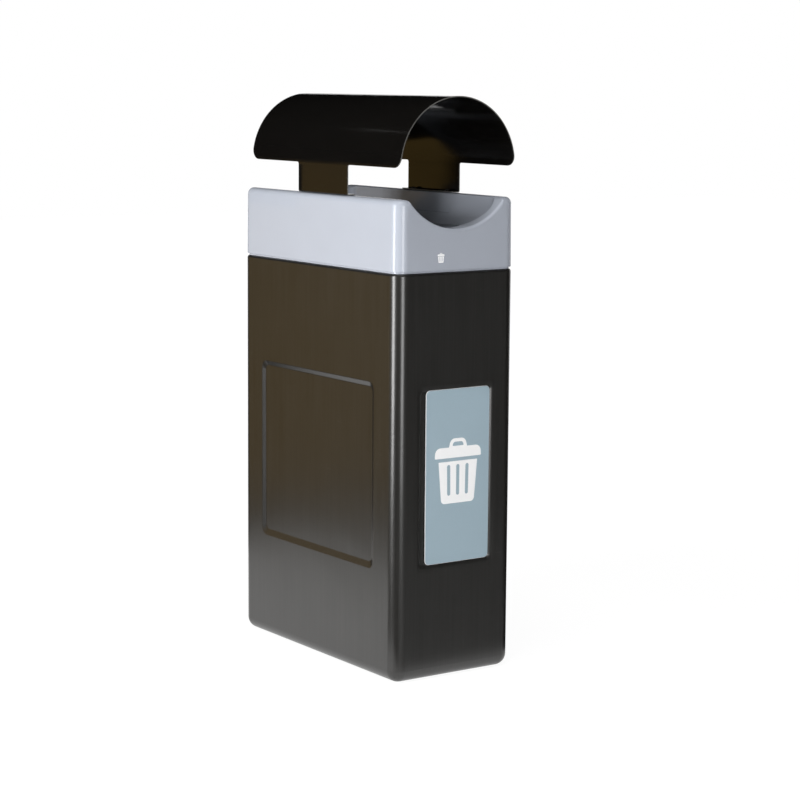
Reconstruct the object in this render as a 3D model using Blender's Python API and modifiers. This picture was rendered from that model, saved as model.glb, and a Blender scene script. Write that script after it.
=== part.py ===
"""Slim commercial trash can: a moulded body, a hinged lid with a scooped mouth, and a bent sheet hood.

Metres, +Z up. The origin is the middle of the base on the floor, and the narrow front faces -Y.
"""

from math import acos, cos, pi, radians, sin

import bmesh
import bpy
from mathutils import Matrix, Vector

# Overall sizes
BODY_WIDTH = 0.31115
BODY_LENGTH = 0.6223
RIM_HEIGHT = 1.0287
HOOD_RISE = 0.21336
SEAT_GAP = 0.0003
OVERRUN = 0.004
MERGE_DISTANCE = 0.000001

# Body shell
BODY_WALL = 0.005
CORNER_RADIUS = 0.0288
BASE_RADIUS = 0.027
SHOULDER_RADIUS = 0.006
COLLAR_INSET = 0.0105
COLLAR_WALL = 0.005
COLLAR_RISE = 0.012
COLLAR_ROUNDING = 0.0015

# Side panel recesses, by their distance from the body's ends, foot and shoulder
PANEL_END_MARGIN = 0.08515
PANEL_FOOT_MARGIN = 0.2399
PANEL_HEAD_MARGIN = 0.2355
PANEL_DEPTH = 0.006
PANEL_SLOPE = 0.0095
PANEL_CORNER = 0.014

# Sign recesses, front and rear, by their distance from the body's sides, foot and shoulder
SIGN_SIDE_MARGIN = 0.056575
SIGN_FOOT_MARGIN = 0.2365
SIGN_HEAD_MARGIN = 0.2344
SIGN_RECESS_DEPTH = 0.0075
SIGN_RECESS_SLOPE = 0.006
SIGN_RECESS_CORNER = 0.012

# Front sign plate and its mounting tape, by the border that the recess leaves round it
SIGN_BORDER_WIDTH = 0.01525
SIGN_BORDER_HEIGHT = 0.014
SIGN_THICKNESS = 0.003
SIGN_CORNER = 0.008
SIGN_SHIFT = 0.0073
TAPE_WIDTH = 0.019
TAPE_THICKNESS = 0.0012
TAPE_MARGIN = 0.012

# Lid shell
LID_HEIGHT = 0.1535
LID_WALL = 0.0045
LID_TAPER = 0.0016
LID_TOP_RADIUS = 0.007
LID_FOOT_INSET = 0.0045
LID_FOOT_WALL = 0.0095
LID_FOOT_RISE = 0.008
LID_EDGE_RADIUS = 0.003
SEAM_GAP = 0.0023

# Mouth of the lid, by the width of the rim and the slope round it
RIM_SIDE_WIDTH = 0.030575
RIM_END_WIDTH = 0.02515
TROUGH_CORNER = 0.026
TROUGH_DEPTH = 0.0440
TROUGH_SLOPE_DROP = 0.022
TROUGH_EDGE = 0.003
CREASE_RISE = 0.016
CREASE_SHARE = 0.42
LEDGE_SHARE = 0.3916
SLOPE_SIDE_WIDTH = 0.034
SLOPE_END_WIDTH = 0.018
MOUTH_LIP = 0.014
SCOOP_MARGIN = 0.0219
SCOOP_DEPTH = 0.0632
SCOOP_SHOULDER = 0.020

# Hood of bent sheet, by how far it stands in from the body's sides and ends
HOOD_END_INSET = 0.01665
HOOD_SHIFT = -0.0164
HOOD_SIDE_INSET = 0.007075
HOOD_SHEET = 0.0025
HOOD_EDGE_RISE = 0.0655
HOOD_CORNER = 0.025
TAB_LENGTH = 0.195
TAB_SHIFT = -0.015
TAB_FILLET = 0.005
FLANGE_WIDTH = 0.019
FLANGE_BEND = 0.004

# Hood bolts, washers and nuts
BOLT_RADIUS = 0.003
BOLT_CLEARANCE = 0.0004
BOLT_HEAD_RADIUS = 0.0055
BOLT_HEAD_HEIGHT = 0.0033
BOLT_SPACING = 0.130
BOLT_INSET = 0.0085
BOLT_TAIL = 0.002
WASHER_RADIUS = 0.0062
WASHER_THICKNESS = 0.0012
NUT_RADIUS = 0.0057
NUT_HEIGHT = 0.005
BOLT_HOLE_DEPTH = 0.025

# Rear hinges
HINGE_SIDE_INSET = 0.070575
HINGE_WIDTH = 0.060
HINGE_LEAF_HEIGHT = 0.044
HINGE_SHEET = 0.002
KNUCKLE_RADIUS = 0.0045
KNUCKLE_GAP = 0.0005
KNUCKLE_TRIM = 0.0002
HINGE_PIN_RADIUS = 0.0022
HINGE_PIN_CLEARANCE = 0.0003
HINGE_PIN_HEAD_RADIUS = 0.0038
HINGE_PIN_HEAD = 0.0015
RIVET_RADIUS = 0.0024
RIVET_HEAD_RADIUS = 0.0045
RIVET_HEAD_HEIGHT = 0.0016
RIVET_TAIL_RADIUS = 0.0040
RIVET_TAIL = 0.003
RIVET_SPACING = 0.036
RIVET_EDGE = 0.012

# Inner liner and its lifting handles
LINER_WALL = 0.003
LINER_SIDE_GAP = 0.029575
LINER_END_GAP = 0.03015
LINER_TAPER_WIDTH = 0.014
LINER_TAPER_LENGTH = 0.018
LINER_DROP = 0.0316
LINER_CORNER = 0.040
LINER_BASE_RADIUS = 0.020
LINER_RIM_WIDTH = 0.009
LINER_RIM_THICKNESS = 0.004
HANDLE_MARGIN = 0.071
HANDLE_DROP = 0.062
HANDLE_RADIUS = 0.0025
HANDLE_BEND = 0.014
HANDLE_CLEARANCE = 0.0004
HANDLE_END = 0.003
LUG_WIDTH = 0.010
LUG_DEPTH = 0.016
LUG_HEIGHT = 0.016
LUG_DROP = 0.020

# Facet counts
CORNER_STEPS = 6
ROUNDING_STEPS = 4
BASE_STEPS = 5
SLOPE_STEPS = 4
SCOOP_STEPS = 24
SHOULDER_STEPS = 5
ARCH_STEPS = 40
ROUND_STEPS = 16
HOLE_STEPS = 12
NUT_SIDES = 6

# Shares of the sloped edge at which a moulded recess steps down
RECESS_SHARES = [(0, 0), (0.25, 0.10), (0.5, 0.5), (0.75, 0.90), (1, 1)]

# Heights and faces that several pieces share
HALF_WIDTH = BODY_WIDTH / 2
HALF_LENGTH = BODY_LENGTH / 2
SEAM_HEIGHT = RIM_HEIGHT - LID_HEIGHT
SHOULDER_HEIGHT = SEAM_HEIGHT - SEAT_GAP
COLLAR_TOP = SHOULDER_HEIGHT + COLLAR_RISE
PANEL_LENGTH = BODY_LENGTH - 2 * PANEL_END_MARGIN
PANEL_HEIGHT = SHOULDER_HEIGHT - PANEL_FOOT_MARGIN - PANEL_HEAD_MARGIN
PANEL_MIDDLE_HEIGHT = PANEL_FOOT_MARGIN + PANEL_HEIGHT / 2
SIGN_RECESS_WIDTH = BODY_WIDTH - 2 * SIGN_SIDE_MARGIN
SIGN_RECESS_HEIGHT = SHOULDER_HEIGHT - SIGN_FOOT_MARGIN - SIGN_HEAD_MARGIN
SIGN_MIDDLE_HEIGHT = SIGN_FOOT_MARGIN + SIGN_RECESS_HEIGHT / 2
SIGN_WIDTH = SIGN_RECESS_WIDTH - 2 * SIGN_BORDER_WIDTH
SIGN_HEIGHT = SIGN_RECESS_HEIGHT - 2 * SIGN_BORDER_HEIGHT
HINGE_AXIS_Y = HALF_LENGTH + 2 * SEAT_GAP + KNUCKLE_RADIUS
HINGE_OFFSET = HALF_WIDTH - HINGE_SIDE_INSET
HINGE_AXIS = Vector((0, HINGE_AXIS_Y, SEAM_HEIGHT + SEAM_GAP / 2))
TROUGH_WIDTH = BODY_WIDTH - 2 * RIM_SIDE_WIDTH
TROUGH_LENGTH = BODY_LENGTH - 2 * RIM_END_WIDTH
LEDGE_LENGTH = TROUGH_LENGTH * LEDGE_SHARE
MOUTH_WIDTH = TROUGH_WIDTH - 2 * SLOPE_SIDE_WIDTH
MOUTH_LENGTH = TROUGH_LENGTH - 2 * SLOPE_END_WIDTH
CREASE_HEIGHT = RIM_HEIGHT - TROUGH_DEPTH
MOUTH_HEIGHT = CREASE_HEIGHT - TROUGH_SLOPE_DROP
MOUTH_CORNER = MOUTH_WIDTH / 2 - TROUGH_EDGE
SCOOP_HALF_WIDTH = HALF_WIDTH - SCOOP_MARGIN
SCOOP_REACH = (SCOOP_HALF_WIDTH ** 2 / SCOOP_DEPTH + SCOOP_DEPTH) / 2
SCOOP_RADIUS = SCOOP_REACH - SCOOP_SHOULDER
HOOD_LENGTH = BODY_LENGTH - 2 * HOOD_END_INSET
HOOD_RADIUS = HALF_WIDTH - HOOD_SIDE_INSET
HOOD_EDGE_HEIGHT = RIM_HEIGHT + HOOD_EDGE_RISE
FLANGE_FACE = RIM_HEIGHT + SEAT_GAP
SPRING_HEIGHT = RIM_HEIGHT + HOOD_RISE - HOOD_RADIUS
BOLT_LINE = HOOD_RADIUS - HOOD_SHEET - BOLT_INSET
LINER_FLOOR = BODY_WALL + SEAT_GAP
LINER_TOP = SHOULDER_HEIGHT - LINER_DROP
LINER_HEIGHT = LINER_TOP - LINER_FLOOR
LINER_TOP_WIDTH = BODY_WIDTH - 2 * LINER_SIDE_GAP
LINER_TOP_LENGTH = BODY_LENGTH - 2 * LINER_END_GAP
HANDLE_WIDTH = LINER_TOP_WIDTH - 2 * HANDLE_MARGIN
HANDLE_AXIS_HEIGHT = LINER_TOP - LUG_DROP
HANDLE_AXIS_Y = LINER_TOP_LENGTH / 2 - LINER_WALL - LUG_DEPTH / 2


def start_scene():
    """Empty the scene and make one collection for the parts and one for the cutters."""
    for obj in list(bpy.data.objects):
        bpy.data.objects.remove(obj, do_unlink=True)
    groups = []
    for title in ("trash_can", "cutters"):
        group = bpy.data.collections.new(title)
        bpy.context.scene.collection.children.link(group)
        groups.append(group)
    return groups


PARTS, CUTTERS = start_scene()


def material(title, colour, roughness, metallic=0.0):
    """A plain Principled material."""
    made = bpy.data.materials.new(title)
    made.use_nodes = True
    shader = made.node_tree.nodes["Principled BSDF"]
    shader.inputs["Base Color"].default_value = (*colour, 1)
    shader.inputs["Roughness"].default_value = roughness
    shader.inputs["Metallic"].default_value = metallic
    made.diffuse_color = (*colour, 1)
    return made


BLACK_PLASTIC = material("black_moulded_plastic", (0.020, 0.018, 0.014), 0.42)
GREY_PLASTIC = material("grey_moulded_plastic", (0.40, 0.43, 0.50), 0.30)
LINER_PLASTIC = material("liner_plastic", (0.045, 0.045, 0.048), 0.55)
HOOD_ENAMEL = material("black_powder_coat", (0.008, 0.008, 0.007), 0.18)
SIGN_FACE = material("sign_sheet", (0.33, 0.40, 0.46), 0.35)
FOAM_TAPE = material("foam_tape", (0.03, 0.03, 0.03), 0.9)
ZINC = material("zinc_plated_steel", (0.55, 0.56, 0.58), 0.35, 1.0)
BLACK_STEEL = material("black_steel", (0.02, 0.02, 0.02), 0.30, 1.0)


def add_object(name, mesh, finish=None):
    """A part with a finish, or a cutter where there is none."""
    obj = bpy.data.objects.new(name, mesh)
    if finish:
        PARTS.objects.link(obj)
        mesh.materials.append(finish)
    else:
        CUTTERS.objects.link(obj)
        obj.hide_render = True
        obj.display_type = "WIRE"
    return obj


def mesh_of(bm, name, place=None):
    """Close a bmesh into a mesh, moved to its place, with its faces pointing out."""
    bmesh.ops.remove_doubles(bm, verts=bm.verts, dist=MERGE_DISTANCE)
    if place:
        bmesh.ops.transform(bm, matrix=place, verts=bm.verts)
    bmesh.ops.recalc_face_normals(bm, faces=bm.faces)
    mesh = bpy.data.meshes.new(name)
    bm.to_mesh(mesh)
    bm.free()
    return mesh


def boolean(obj, other, operation="DIFFERENCE"):
    """Cut, join or intersect obj with another object."""
    modifier = obj.modifiers.new(f"{operation.lower()} {other.name}", "BOOLEAN")
    modifier.operation = operation
    modifier.solver = "EXACT"
    modifier.object = other


def rounded_ring(half_x, half_y, radius, steps=CORNER_STEPS):
    """Points round a rectangle with rounded corners, anticlockwise from +X."""
    ring = []
    corners = [(1, -1, -pi / 2), (1, 1, 0), (-1, 1, pi / 2), (-1, -1, pi)]
    for side_x, side_y, start in corners:
        for step in range(steps + 1):
            angle = start + step * pi / 2 / steps
            ring.append((
                side_x * (half_x - radius) + radius * cos(angle),
                side_y * (half_y - radius) + radius * sin(angle),
            ))
    return ring


def loft(name, rings, place=None, finish=None):
    """A closed solid through rings of points that have the same count."""
    bm = bmesh.new()
    rows = [[bm.verts.new(point) for point in ring] for ring in rings]
    count = len(rows[0])
    for low, high in zip(rows, rows[1:]):
        for index in range(count):
            after = (index + 1) % count
            bm.faces.new((low[index], low[after], high[after], high[index]))
    bm.faces.new(reversed(rows[0]))
    bm.faces.new(rows[-1])
    return add_object(name, mesh_of(bm, name, place), finish)


def box_loft(name, sections, place=None, finish=None):
    """A loft through rounded rectangles, each (half_x, half_y, corner radius, height)."""
    rings = []
    for half_x, half_y, radius, height in sections:
        rings.append([(x, y, height) for x, y in rounded_ring(half_x, half_y, radius)])
    return loft(name, rings, place, finish)


def inset_section(inset, height):
    """The body's outline drawn in by an inset, as a section at a height."""
    radius = max(CORNER_RADIUS - inset, COLLAR_ROUNDING)
    return (HALF_WIDTH - inset, HALF_LENGTH - inset, radius, height)


def quarter(steps):
    """Sine and cosine along a quarter turn, or nothing where it has no steps."""
    turns = [pi / 2 * step / steps for step in range(steps + 1)] if steps else []
    return [(sin(angle), cos(angle)) for angle in turns]


def prism(name, outline, depth, place=None, finish=None):
    """A flat outline in XY extruded along Z by a depth, from zero."""
    rings = [[(x, y, z) for x, y in outline] for z in (0, depth)]
    return loft(name, rings, place, finish)


def filleted(points, steps=ROUNDING_STEPS):
    """Round each corner of an outline, given as (x, y, radius)."""
    outline = []
    for index, (x, y, radius) in enumerate(points):
        here = Vector((x, y))
        if radius == 0:
            outline.append((x, y))
            continue
        before = (Vector(points[index - 1][:2]) - here).normalized()
        after = (Vector(points[(index + 1) % len(points)][:2]) - here).normalized()
        half = before.angle(after) / 2
        middle = here + (before + after).normalized() * radius / sin(half)
        start = here + before * radius / (sin(half) / cos(half)) - middle
        turn = pi - 2 * half
        way = 1 if before.cross(after) < 0 else -1
        for step in range(steps + 1):
            angle = way * turn * step / steps
            outline.append((
                middle.x + start.x * cos(angle) - start.y * sin(angle),
                middle.y + start.x * sin(angle) + start.y * cos(angle),
            ))
    return outline


def turned(name, profile, place, steps, finish=None):
    """A solid turned about Z from a profile of (radius, height) that runs down its outer side."""
    mesh = bpy.data.meshes.new(name)
    bm = bmesh.new()
    dots = [bm.verts.new((radius, 0, height)) for radius, height in profile]
    for first, second in zip(dots, dots[1:]):
        bm.edges.new((first, second))
    if profile[0][0] > 0:
        bm.edges.new((dots[-1], dots[0]))
    bm.to_mesh(mesh)
    bm.free()
    obj = add_object(name, mesh, finish)
    obj.matrix_world = place
    screw = obj.modifiers.new("turn", "SCREW")
    screw.steps = steps
    screw.render_steps = steps
    screw.use_merge_vertices = True
    screw.merge_threshold = MERGE_DISTANCE
    return obj


def drill(name, radius, length, place, steps=HOLE_STEPS):
    """A round cutter along local Z, centred."""
    half = length / 2
    return turned(name, [(0, half), (radius, half), (radius, -half), (0, -half)], place, steps)


def box(name, size, centre, finish=None):
    """An axis-aligned box."""
    bm = bmesh.new()
    bmesh.ops.create_cube(bm, size=1)
    place = Matrix.Translation(centre) @ Matrix.Diagonal((*size, 1))
    return add_object(name, mesh_of(bm, name, place), finish)


def at(x, y, z):
    """A plain move."""
    return Matrix.Translation((x, y, z))


# Body shell

def facing(x, y, z):
    """Turns local Z to point out of a wall at (x, y, z), with local Y up."""
    outward = Vector((x, y, 0)).normalized()
    up = Vector((0, 0, 1))
    across = up.cross(outward)
    turn = Matrix((across, up, outward)).transposed().to_4x4()
    return at(x, y, z) @ turn


def recess_solid(name, half_a, half_b, depth, slope, corner, grow, place):
    """A recess as a solid that sinks into a wall, grown on all sides by a wall thickness."""
    sections = [(half_a + grow, half_b + grow, corner + grow, OVERRUN)]
    for inward, down in RECESS_SHARES:
        draw = slope * inward
        sections.append((
            half_a - draw + grow,
            half_b - draw + grow,
            corner - draw / 2 + grow,
            -depth * down - grow,
        ))
    return box_loft(name, sections, place)


def recess_places():
    """Each recess as (name, half sizes, depth, slope, corner, place)."""
    panel = (PANEL_LENGTH / 2, PANEL_HEIGHT / 2, PANEL_DEPTH, PANEL_SLOPE, PANEL_CORNER)
    sign = (
        SIGN_RECESS_WIDTH / 2, SIGN_RECESS_HEIGHT / 2,
        SIGN_RECESS_DEPTH, SIGN_RECESS_SLOPE, SIGN_RECESS_CORNER,
    )
    return [
        ("left_panel", panel, facing(-HALF_WIDTH, 0, PANEL_MIDDLE_HEIGHT)),
        ("right_panel", panel, facing(HALF_WIDTH, 0, PANEL_MIDDLE_HEIGHT)),
        ("front_sign", sign, facing(0, -HALF_LENGTH, SIGN_MIDDLE_HEIGHT)),
        ("rear_sign", sign, facing(0, HALF_LENGTH, SIGN_MIDDLE_HEIGHT)),
    ]


def body_shell():
    """Outer form with a rounded base, a rounded shoulder and a collar, hollowed to an even wall."""
    sections = []
    for rise, run in quarter(BASE_STEPS):
        sections.append(inset_section(BASE_RADIUS * (1 - rise), BASE_RADIUS * (1 - run)))
    for rise, run in quarter(ROUNDING_STEPS):
        height = SHOULDER_HEIGHT - SHOULDER_RADIUS * (1 - rise)
        sections.append(inset_section(SHOULDER_RADIUS * (1 - run), height))
    sections.append(inset_section(COLLAR_INSET, SHOULDER_HEIGHT))
    sections.append(inset_section(COLLAR_INSET, COLLAR_TOP - COLLAR_ROUNDING))
    sections.append(inset_section(COLLAR_INSET + COLLAR_ROUNDING, COLLAR_TOP))
    body = box_loft("bin_body", sections, finish=BLACK_PLASTIC)

    inner_base = BASE_RADIUS - BODY_WALL
    collar_inner = COLLAR_INSET + COLLAR_WALL
    under = SHOULDER_HEIGHT - BODY_WALL
    hollow = []
    for rise, run in quarter(BASE_STEPS):
        inset = BODY_WALL + inner_base * (1 - rise)
        hollow.append(inset_section(inset, BODY_WALL + inner_base * (1 - run)))
    hollow.append(inset_section(BODY_WALL, under - (collar_inner - BODY_WALL)))
    hollow.append(inset_section(collar_inner, under))
    hollow.append(inset_section(collar_inner, COLLAR_TOP + OVERRUN))
    cavity = box_loft("body_cavity", hollow)
    for name, form, place in recess_places():
        boolean(cavity, recess_solid(f"{name}_boss", *form, BODY_WALL, place))
        boolean(body, recess_solid(f"{name}_recess", *form, 0, place))
    boolean(body, cavity)
    return body


def sign_plate():
    """Flat sign sheet held in the front recess by two strips of foam tape."""
    floor_y = -HALF_LENGTH + SIGN_RECESS_DEPTH
    ring = rounded_ring(SIGN_WIDTH / 2, SIGN_HEIGHT / 2, SIGN_CORNER)
    back = floor_y - TAPE_THICKNESS - 2 * SEAT_GAP
    place = facing(0, back, SIGN_MIDDLE_HEIGHT) @ at(SIGN_SHIFT, 0, 0)
    prism("front_sign_plate", ring, SIGN_THICKNESS, place, SIGN_FACE)
    strip_height = SIGN_HEIGHT - 2 * TAPE_MARGIN
    offset = SIGN_WIDTH / 2 - TAPE_MARGIN - TAPE_WIDTH / 2
    for side, name in ((-1, "sign_tape_left"), (1, "sign_tape_right")):
        centre = (
            SIGN_SHIFT + side * offset,
            floor_y - SEAT_GAP - TAPE_THICKNESS / 2,
            SIGN_MIDDLE_HEIGHT,
        )
        box(name, (TAPE_WIDTH, TAPE_THICKNESS, strip_height), centre, FOAM_TAPE)


# Lid shell

def lid_section(inset, height):
    """The lid's outline at a height, drawn in by its taper and an inset."""
    share = (height - SEAM_HEIGHT) / LID_HEIGHT
    return inset_section(inset + LID_TAPER * max(share, 0), height)


def scoop_ring(grow, y):
    """The mouth's scoop across X at a place along Y, with all its faces moved out by a length."""
    middle = RIM_HEIGHT - SCOOP_DEPTH + SCOOP_RADIUS
    shoulder_height = RIM_HEIGHT - SCOOP_SHOULDER
    shoulder_x = SCOOP_HALF_WIDTH
    lean = acos((middle - shoulder_height) / SCOOP_REACH)
    radius = SCOOP_RADIUS + grow
    small = SCOOP_SHOULDER - grow
    half = []
    for step in range(SCOOP_STEPS // 2 + 1):
        angle = lean * step / (SCOOP_STEPS // 2)
        half.append((radius * sin(angle), middle - radius * cos(angle)))
    for step in range(1, SHOULDER_STEPS + 1):
        angle = lean * (1 - step / SHOULDER_STEPS)
        half.append((shoulder_x - small * sin(angle), shoulder_height + small * cos(angle)))
    top = RIM_HEIGHT + LID_TOP_RADIUS + OVERRUN
    half.append((shoulder_x, top))
    left = [(-x, z) for x, z in reversed(half[1:])]
    return [(x, y, z) for x, z in left + half]


def scoop_solid(name, grow, flare):
    """The scoop as a channel along the whole lid, flared by a radius where it leaves the end faces."""
    end = HALF_LENGTH - LID_TAPER
    places = [(-end - OVERRUN, flare)]
    for rise, run in quarter(ROUNDING_STEPS if flare else 0):
        places.append((-end + flare * (1 - run), flare * (1 - rise)))
    places += [(-y, out) for y, out in reversed(places)]
    return loft(name, [scoop_ring(grow + out, y) for y, out in places])


def trough_sections(grow):
    """The mouth from the rim down: upright walls, a curved crease, a slope and the throat."""
    rim = (TROUGH_WIDTH / 2, TROUGH_LENGTH / 2, TROUGH_CORNER)
    throat = (MOUTH_WIDTH / 2, MOUTH_LENGTH / 2, MOUTH_CORNER)

    def between(share, height):
        """A section part of the way in from the rim's outline to the throat's."""
        half_x, half_y, radius = [a + (b - a) * share for a, b in zip(rim, throat)]
        return (half_x + grow, half_y + grow, radius + grow, height - grow)

    sections = [between(0, CREASE_HEIGHT + CREASE_RISE)]
    crease_drop = TROUGH_SLOPE_DROP * CREASE_SHARE
    for step in range(1, SLOPE_STEPS + 1):
        share = step / SLOPE_STEPS
        height = CREASE_HEIGHT + CREASE_RISE * (1 - share) ** 2 - crease_drop * share ** 2
        sections.append(between(CREASE_SHARE * share ** 2, height))
    sections.append(between(1, MOUTH_HEIGHT))
    return sections


def lid_shell():
    """Outer form less the mouth and scoops, hollowed from below to an even wall."""
    foot = SEAM_HEIGHT + SEAM_GAP
    outer = [
        lid_section(LID_FOOT_INSET, SEAM_HEIGHT),
        lid_section(LID_FOOT_INSET, foot),
    ]
    for rise, run in quarter(ROUNDING_STEPS):
        outer.append(lid_section(LID_EDGE_RADIUS * (1 - rise), foot + LID_EDGE_RADIUS * (1 - run)))
    for rise, run in quarter(ROUNDING_STEPS):
        height = RIM_HEIGHT - LID_TOP_RADIUS * (1 - rise)
        outer.append(lid_section(LID_TOP_RADIUS * (1 - run), height))
    lid = box_loft("lid_shell", outer, finish=GREY_PLASTIC)

    hollow_top = RIM_HEIGHT - LID_WALL
    foot_top = SEAM_HEIGHT + LID_FOOT_RISE
    hollow = box_loft("lid_hollow", [
        lid_section(LID_FOOT_WALL, SEAM_HEIGHT - OVERRUN),
        lid_section(LID_FOOT_WALL, foot_top),
        lid_section(LID_WALL, foot_top + LID_FOOT_WALL - LID_WALL),
        lid_section(LID_WALL, hollow_top - LID_TOP_RADIUS + LID_WALL),
        lid_section(LID_TOP_RADIUS, hollow_top),
    ])

    over = RIM_HEIGHT + OVERRUN
    rim_out = TROUGH_EDGE + OVERRUN
    mouth = trough_sections(0)
    mouth_x, mouth_y, mouth_radius = mouth[0][:3]
    mouth = [
        (mouth_x + rim_out, mouth_y + rim_out, mouth_radius + rim_out, over),
        (mouth_x, mouth_y, mouth_radius, RIM_HEIGHT - TROUGH_EDGE),
    ] + mouth
    throat = mouth[-1][:3]
    bottom = MOUTH_HEIGHT - MOUTH_LIP
    mouth.append((*throat, bottom - OVERRUN))
    mouth_cut = box_loft("mouth_cut", mouth)

    skin = trough_sections(LID_WALL)
    skin.insert(0, (*skin[0][:3], over))
    skin.append((*skin[-1][:3], bottom))
    boolean(hollow, box_loft("mouth_skin", skin))
    boolean(hollow, scoop_solid("scoop_skin", LID_WALL, 0))

    boolean(lid, hollow)
    boolean(lid, mouth_cut)
    boolean(lid, scoop_solid("scoop_cut", 0, LID_TOP_RADIUS))
    ledge_height = TROUGH_DEPTH / 2
    boolean(lid, box(
        "ledge_cut",
        (TROUGH_WIDTH, LEDGE_LENGTH, ledge_height),
        (0, 0, CREASE_HEIGHT + ledge_height / 2),
    ))
    return lid


# Hood

def hood_profile():
    """The sheet's outer face across X: flange, bend, tab, half circle, tab, bend, flange."""
    face = FLANGE_FACE
    tip = HOOD_RADIUS - HOOD_SHEET - FLANGE_WIDTH
    right = [(tip, face)]
    for rise, run in quarter(ROUNDING_STEPS):
        right.append((HOOD_RADIUS - FLANGE_BEND * (1 - rise), face + FLANGE_BEND * (1 - run)))
    right.append((HOOD_RADIUS, SPRING_HEIGHT))
    arch = []
    for step in range(1, ARCH_STEPS):
        angle = pi * step / ARCH_STEPS
        arch.append((HOOD_RADIUS * cos(angle), SPRING_HEIGHT + HOOD_RADIUS * sin(angle)))
    return right + arch + [(-x, z) for x, z in reversed(right)]


def hood():
    """One bent sheet: an open profile run along Y, thickened inwards, then trimmed to its side outline."""
    half = HOOD_LENGTH / 2
    bm = bmesh.new()
    rows = []
    for y in (HOOD_SHIFT - half - OVERRUN, HOOD_SHIFT + half + OVERRUN):
        rows.append([bm.verts.new((x, y, z)) for x, z in hood_profile()])
    for index in range(len(rows[0]) - 1):
        bm.faces.new((rows[0][index], rows[1][index], rows[1][index + 1], rows[0][index + 1]))
    mesh = bpy.data.meshes.new("hood")
    bm.to_mesh(mesh)
    bm.free()
    sheet = add_object("hood", mesh, HOOD_ENAMEL)
    solid = sheet.modifiers.new("sheet", "SOLIDIFY")
    solid.thickness = HOOD_SHEET
    solid.offset = -1
    solid.use_even_offset = True

    top = RIM_HEIGHT + HOOD_RISE + OVERRUN
    low = RIM_HEIGHT - OVERRUN
    tab = TAB_LENGTH / 2
    outline = filleted([
        (HOOD_SHIFT - half, top, 0),
        (HOOD_SHIFT - half, HOOD_EDGE_HEIGHT, HOOD_CORNER),
        (TAB_SHIFT - tab, HOOD_EDGE_HEIGHT, TAB_FILLET),
        (TAB_SHIFT - tab, low, 0),
        (TAB_SHIFT + tab, low, 0),
        (TAB_SHIFT + tab, HOOD_EDGE_HEIGHT, TAB_FILLET),
        (HOOD_SHIFT + half, HOOD_EDGE_HEIGHT, HOOD_CORNER),
        (HOOD_SHIFT + half, top, 0),
    ])
    reach = HOOD_RADIUS + OVERRUN
    along_x = Matrix(((0, 0, 1, -reach), (1, 0, 0, 0), (0, 1, 0, 0), (0, 0, 0, 1)))
    boolean(sheet, prism("hood_side_outline", outline, 2 * reach, along_x), "INTERSECT")
    return sheet


def hood_fasteners(sheet, lid):
    """Two bolts through each flange and the rim, with a washer and a nut under the rim."""
    hole = BOLT_RADIUS + BOLT_CLEARANCE
    flange_top = FLANGE_FACE + HOOD_SHEET
    head_face = flange_top + SEAT_GAP
    washer_top = RIM_HEIGHT - LID_WALL - SEAT_GAP
    nut_top = washer_top - WASHER_THICKNESS - SEAT_GAP
    tail = nut_top - NUT_HEIGHT - BOLT_TAIL
    dome_shares = [(0, 1), (0.5, 0.9), (0.85, 0.5), (1, 0)]
    head = [(BOLT_HEAD_RADIUS * across, head_face + BOLT_HEAD_HEIGHT * up) for across, up in dome_shares]
    number = 0
    for side in (-1, 1):
        for along in (-1, 1):
            number += 1
            x = side * BOLT_LINE
            y = TAB_SHIFT + along * BOLT_SPACING / 2
            cutter = drill(f"bolt_hole_{number}", hole, 2 * BOLT_HOLE_DEPTH, at(x, y, RIM_HEIGHT))
            boolean(sheet, cutter)
            boolean(lid, cutter)
            turned(f"hood_bolt_{number}", [
                *head,
                (BOLT_RADIUS, head_face),
                (BOLT_RADIUS, tail),
                (0, tail),
            ], at(x, y, 0), HOLE_STEPS, BLACK_STEEL)
            turned(f"hood_washer_{number}", [
                (WASHER_RADIUS, washer_top),
                (WASHER_RADIUS, washer_top - WASHER_THICKNESS),
                (hole, washer_top - WASHER_THICKNESS),
                (hole, washer_top),
            ], at(x, y, 0), HOLE_STEPS, ZINC)
            nut = turned(f"hood_nut_{number}", [
                (0, nut_top),
                (NUT_RADIUS, nut_top),
                (NUT_RADIUS, nut_top - NUT_HEIGHT),
                (0, nut_top - NUT_HEIGHT),
            ], at(x, y, 0), NUT_SIDES, ZINC)
            boolean(nut, cutter)


# Hinges

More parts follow.
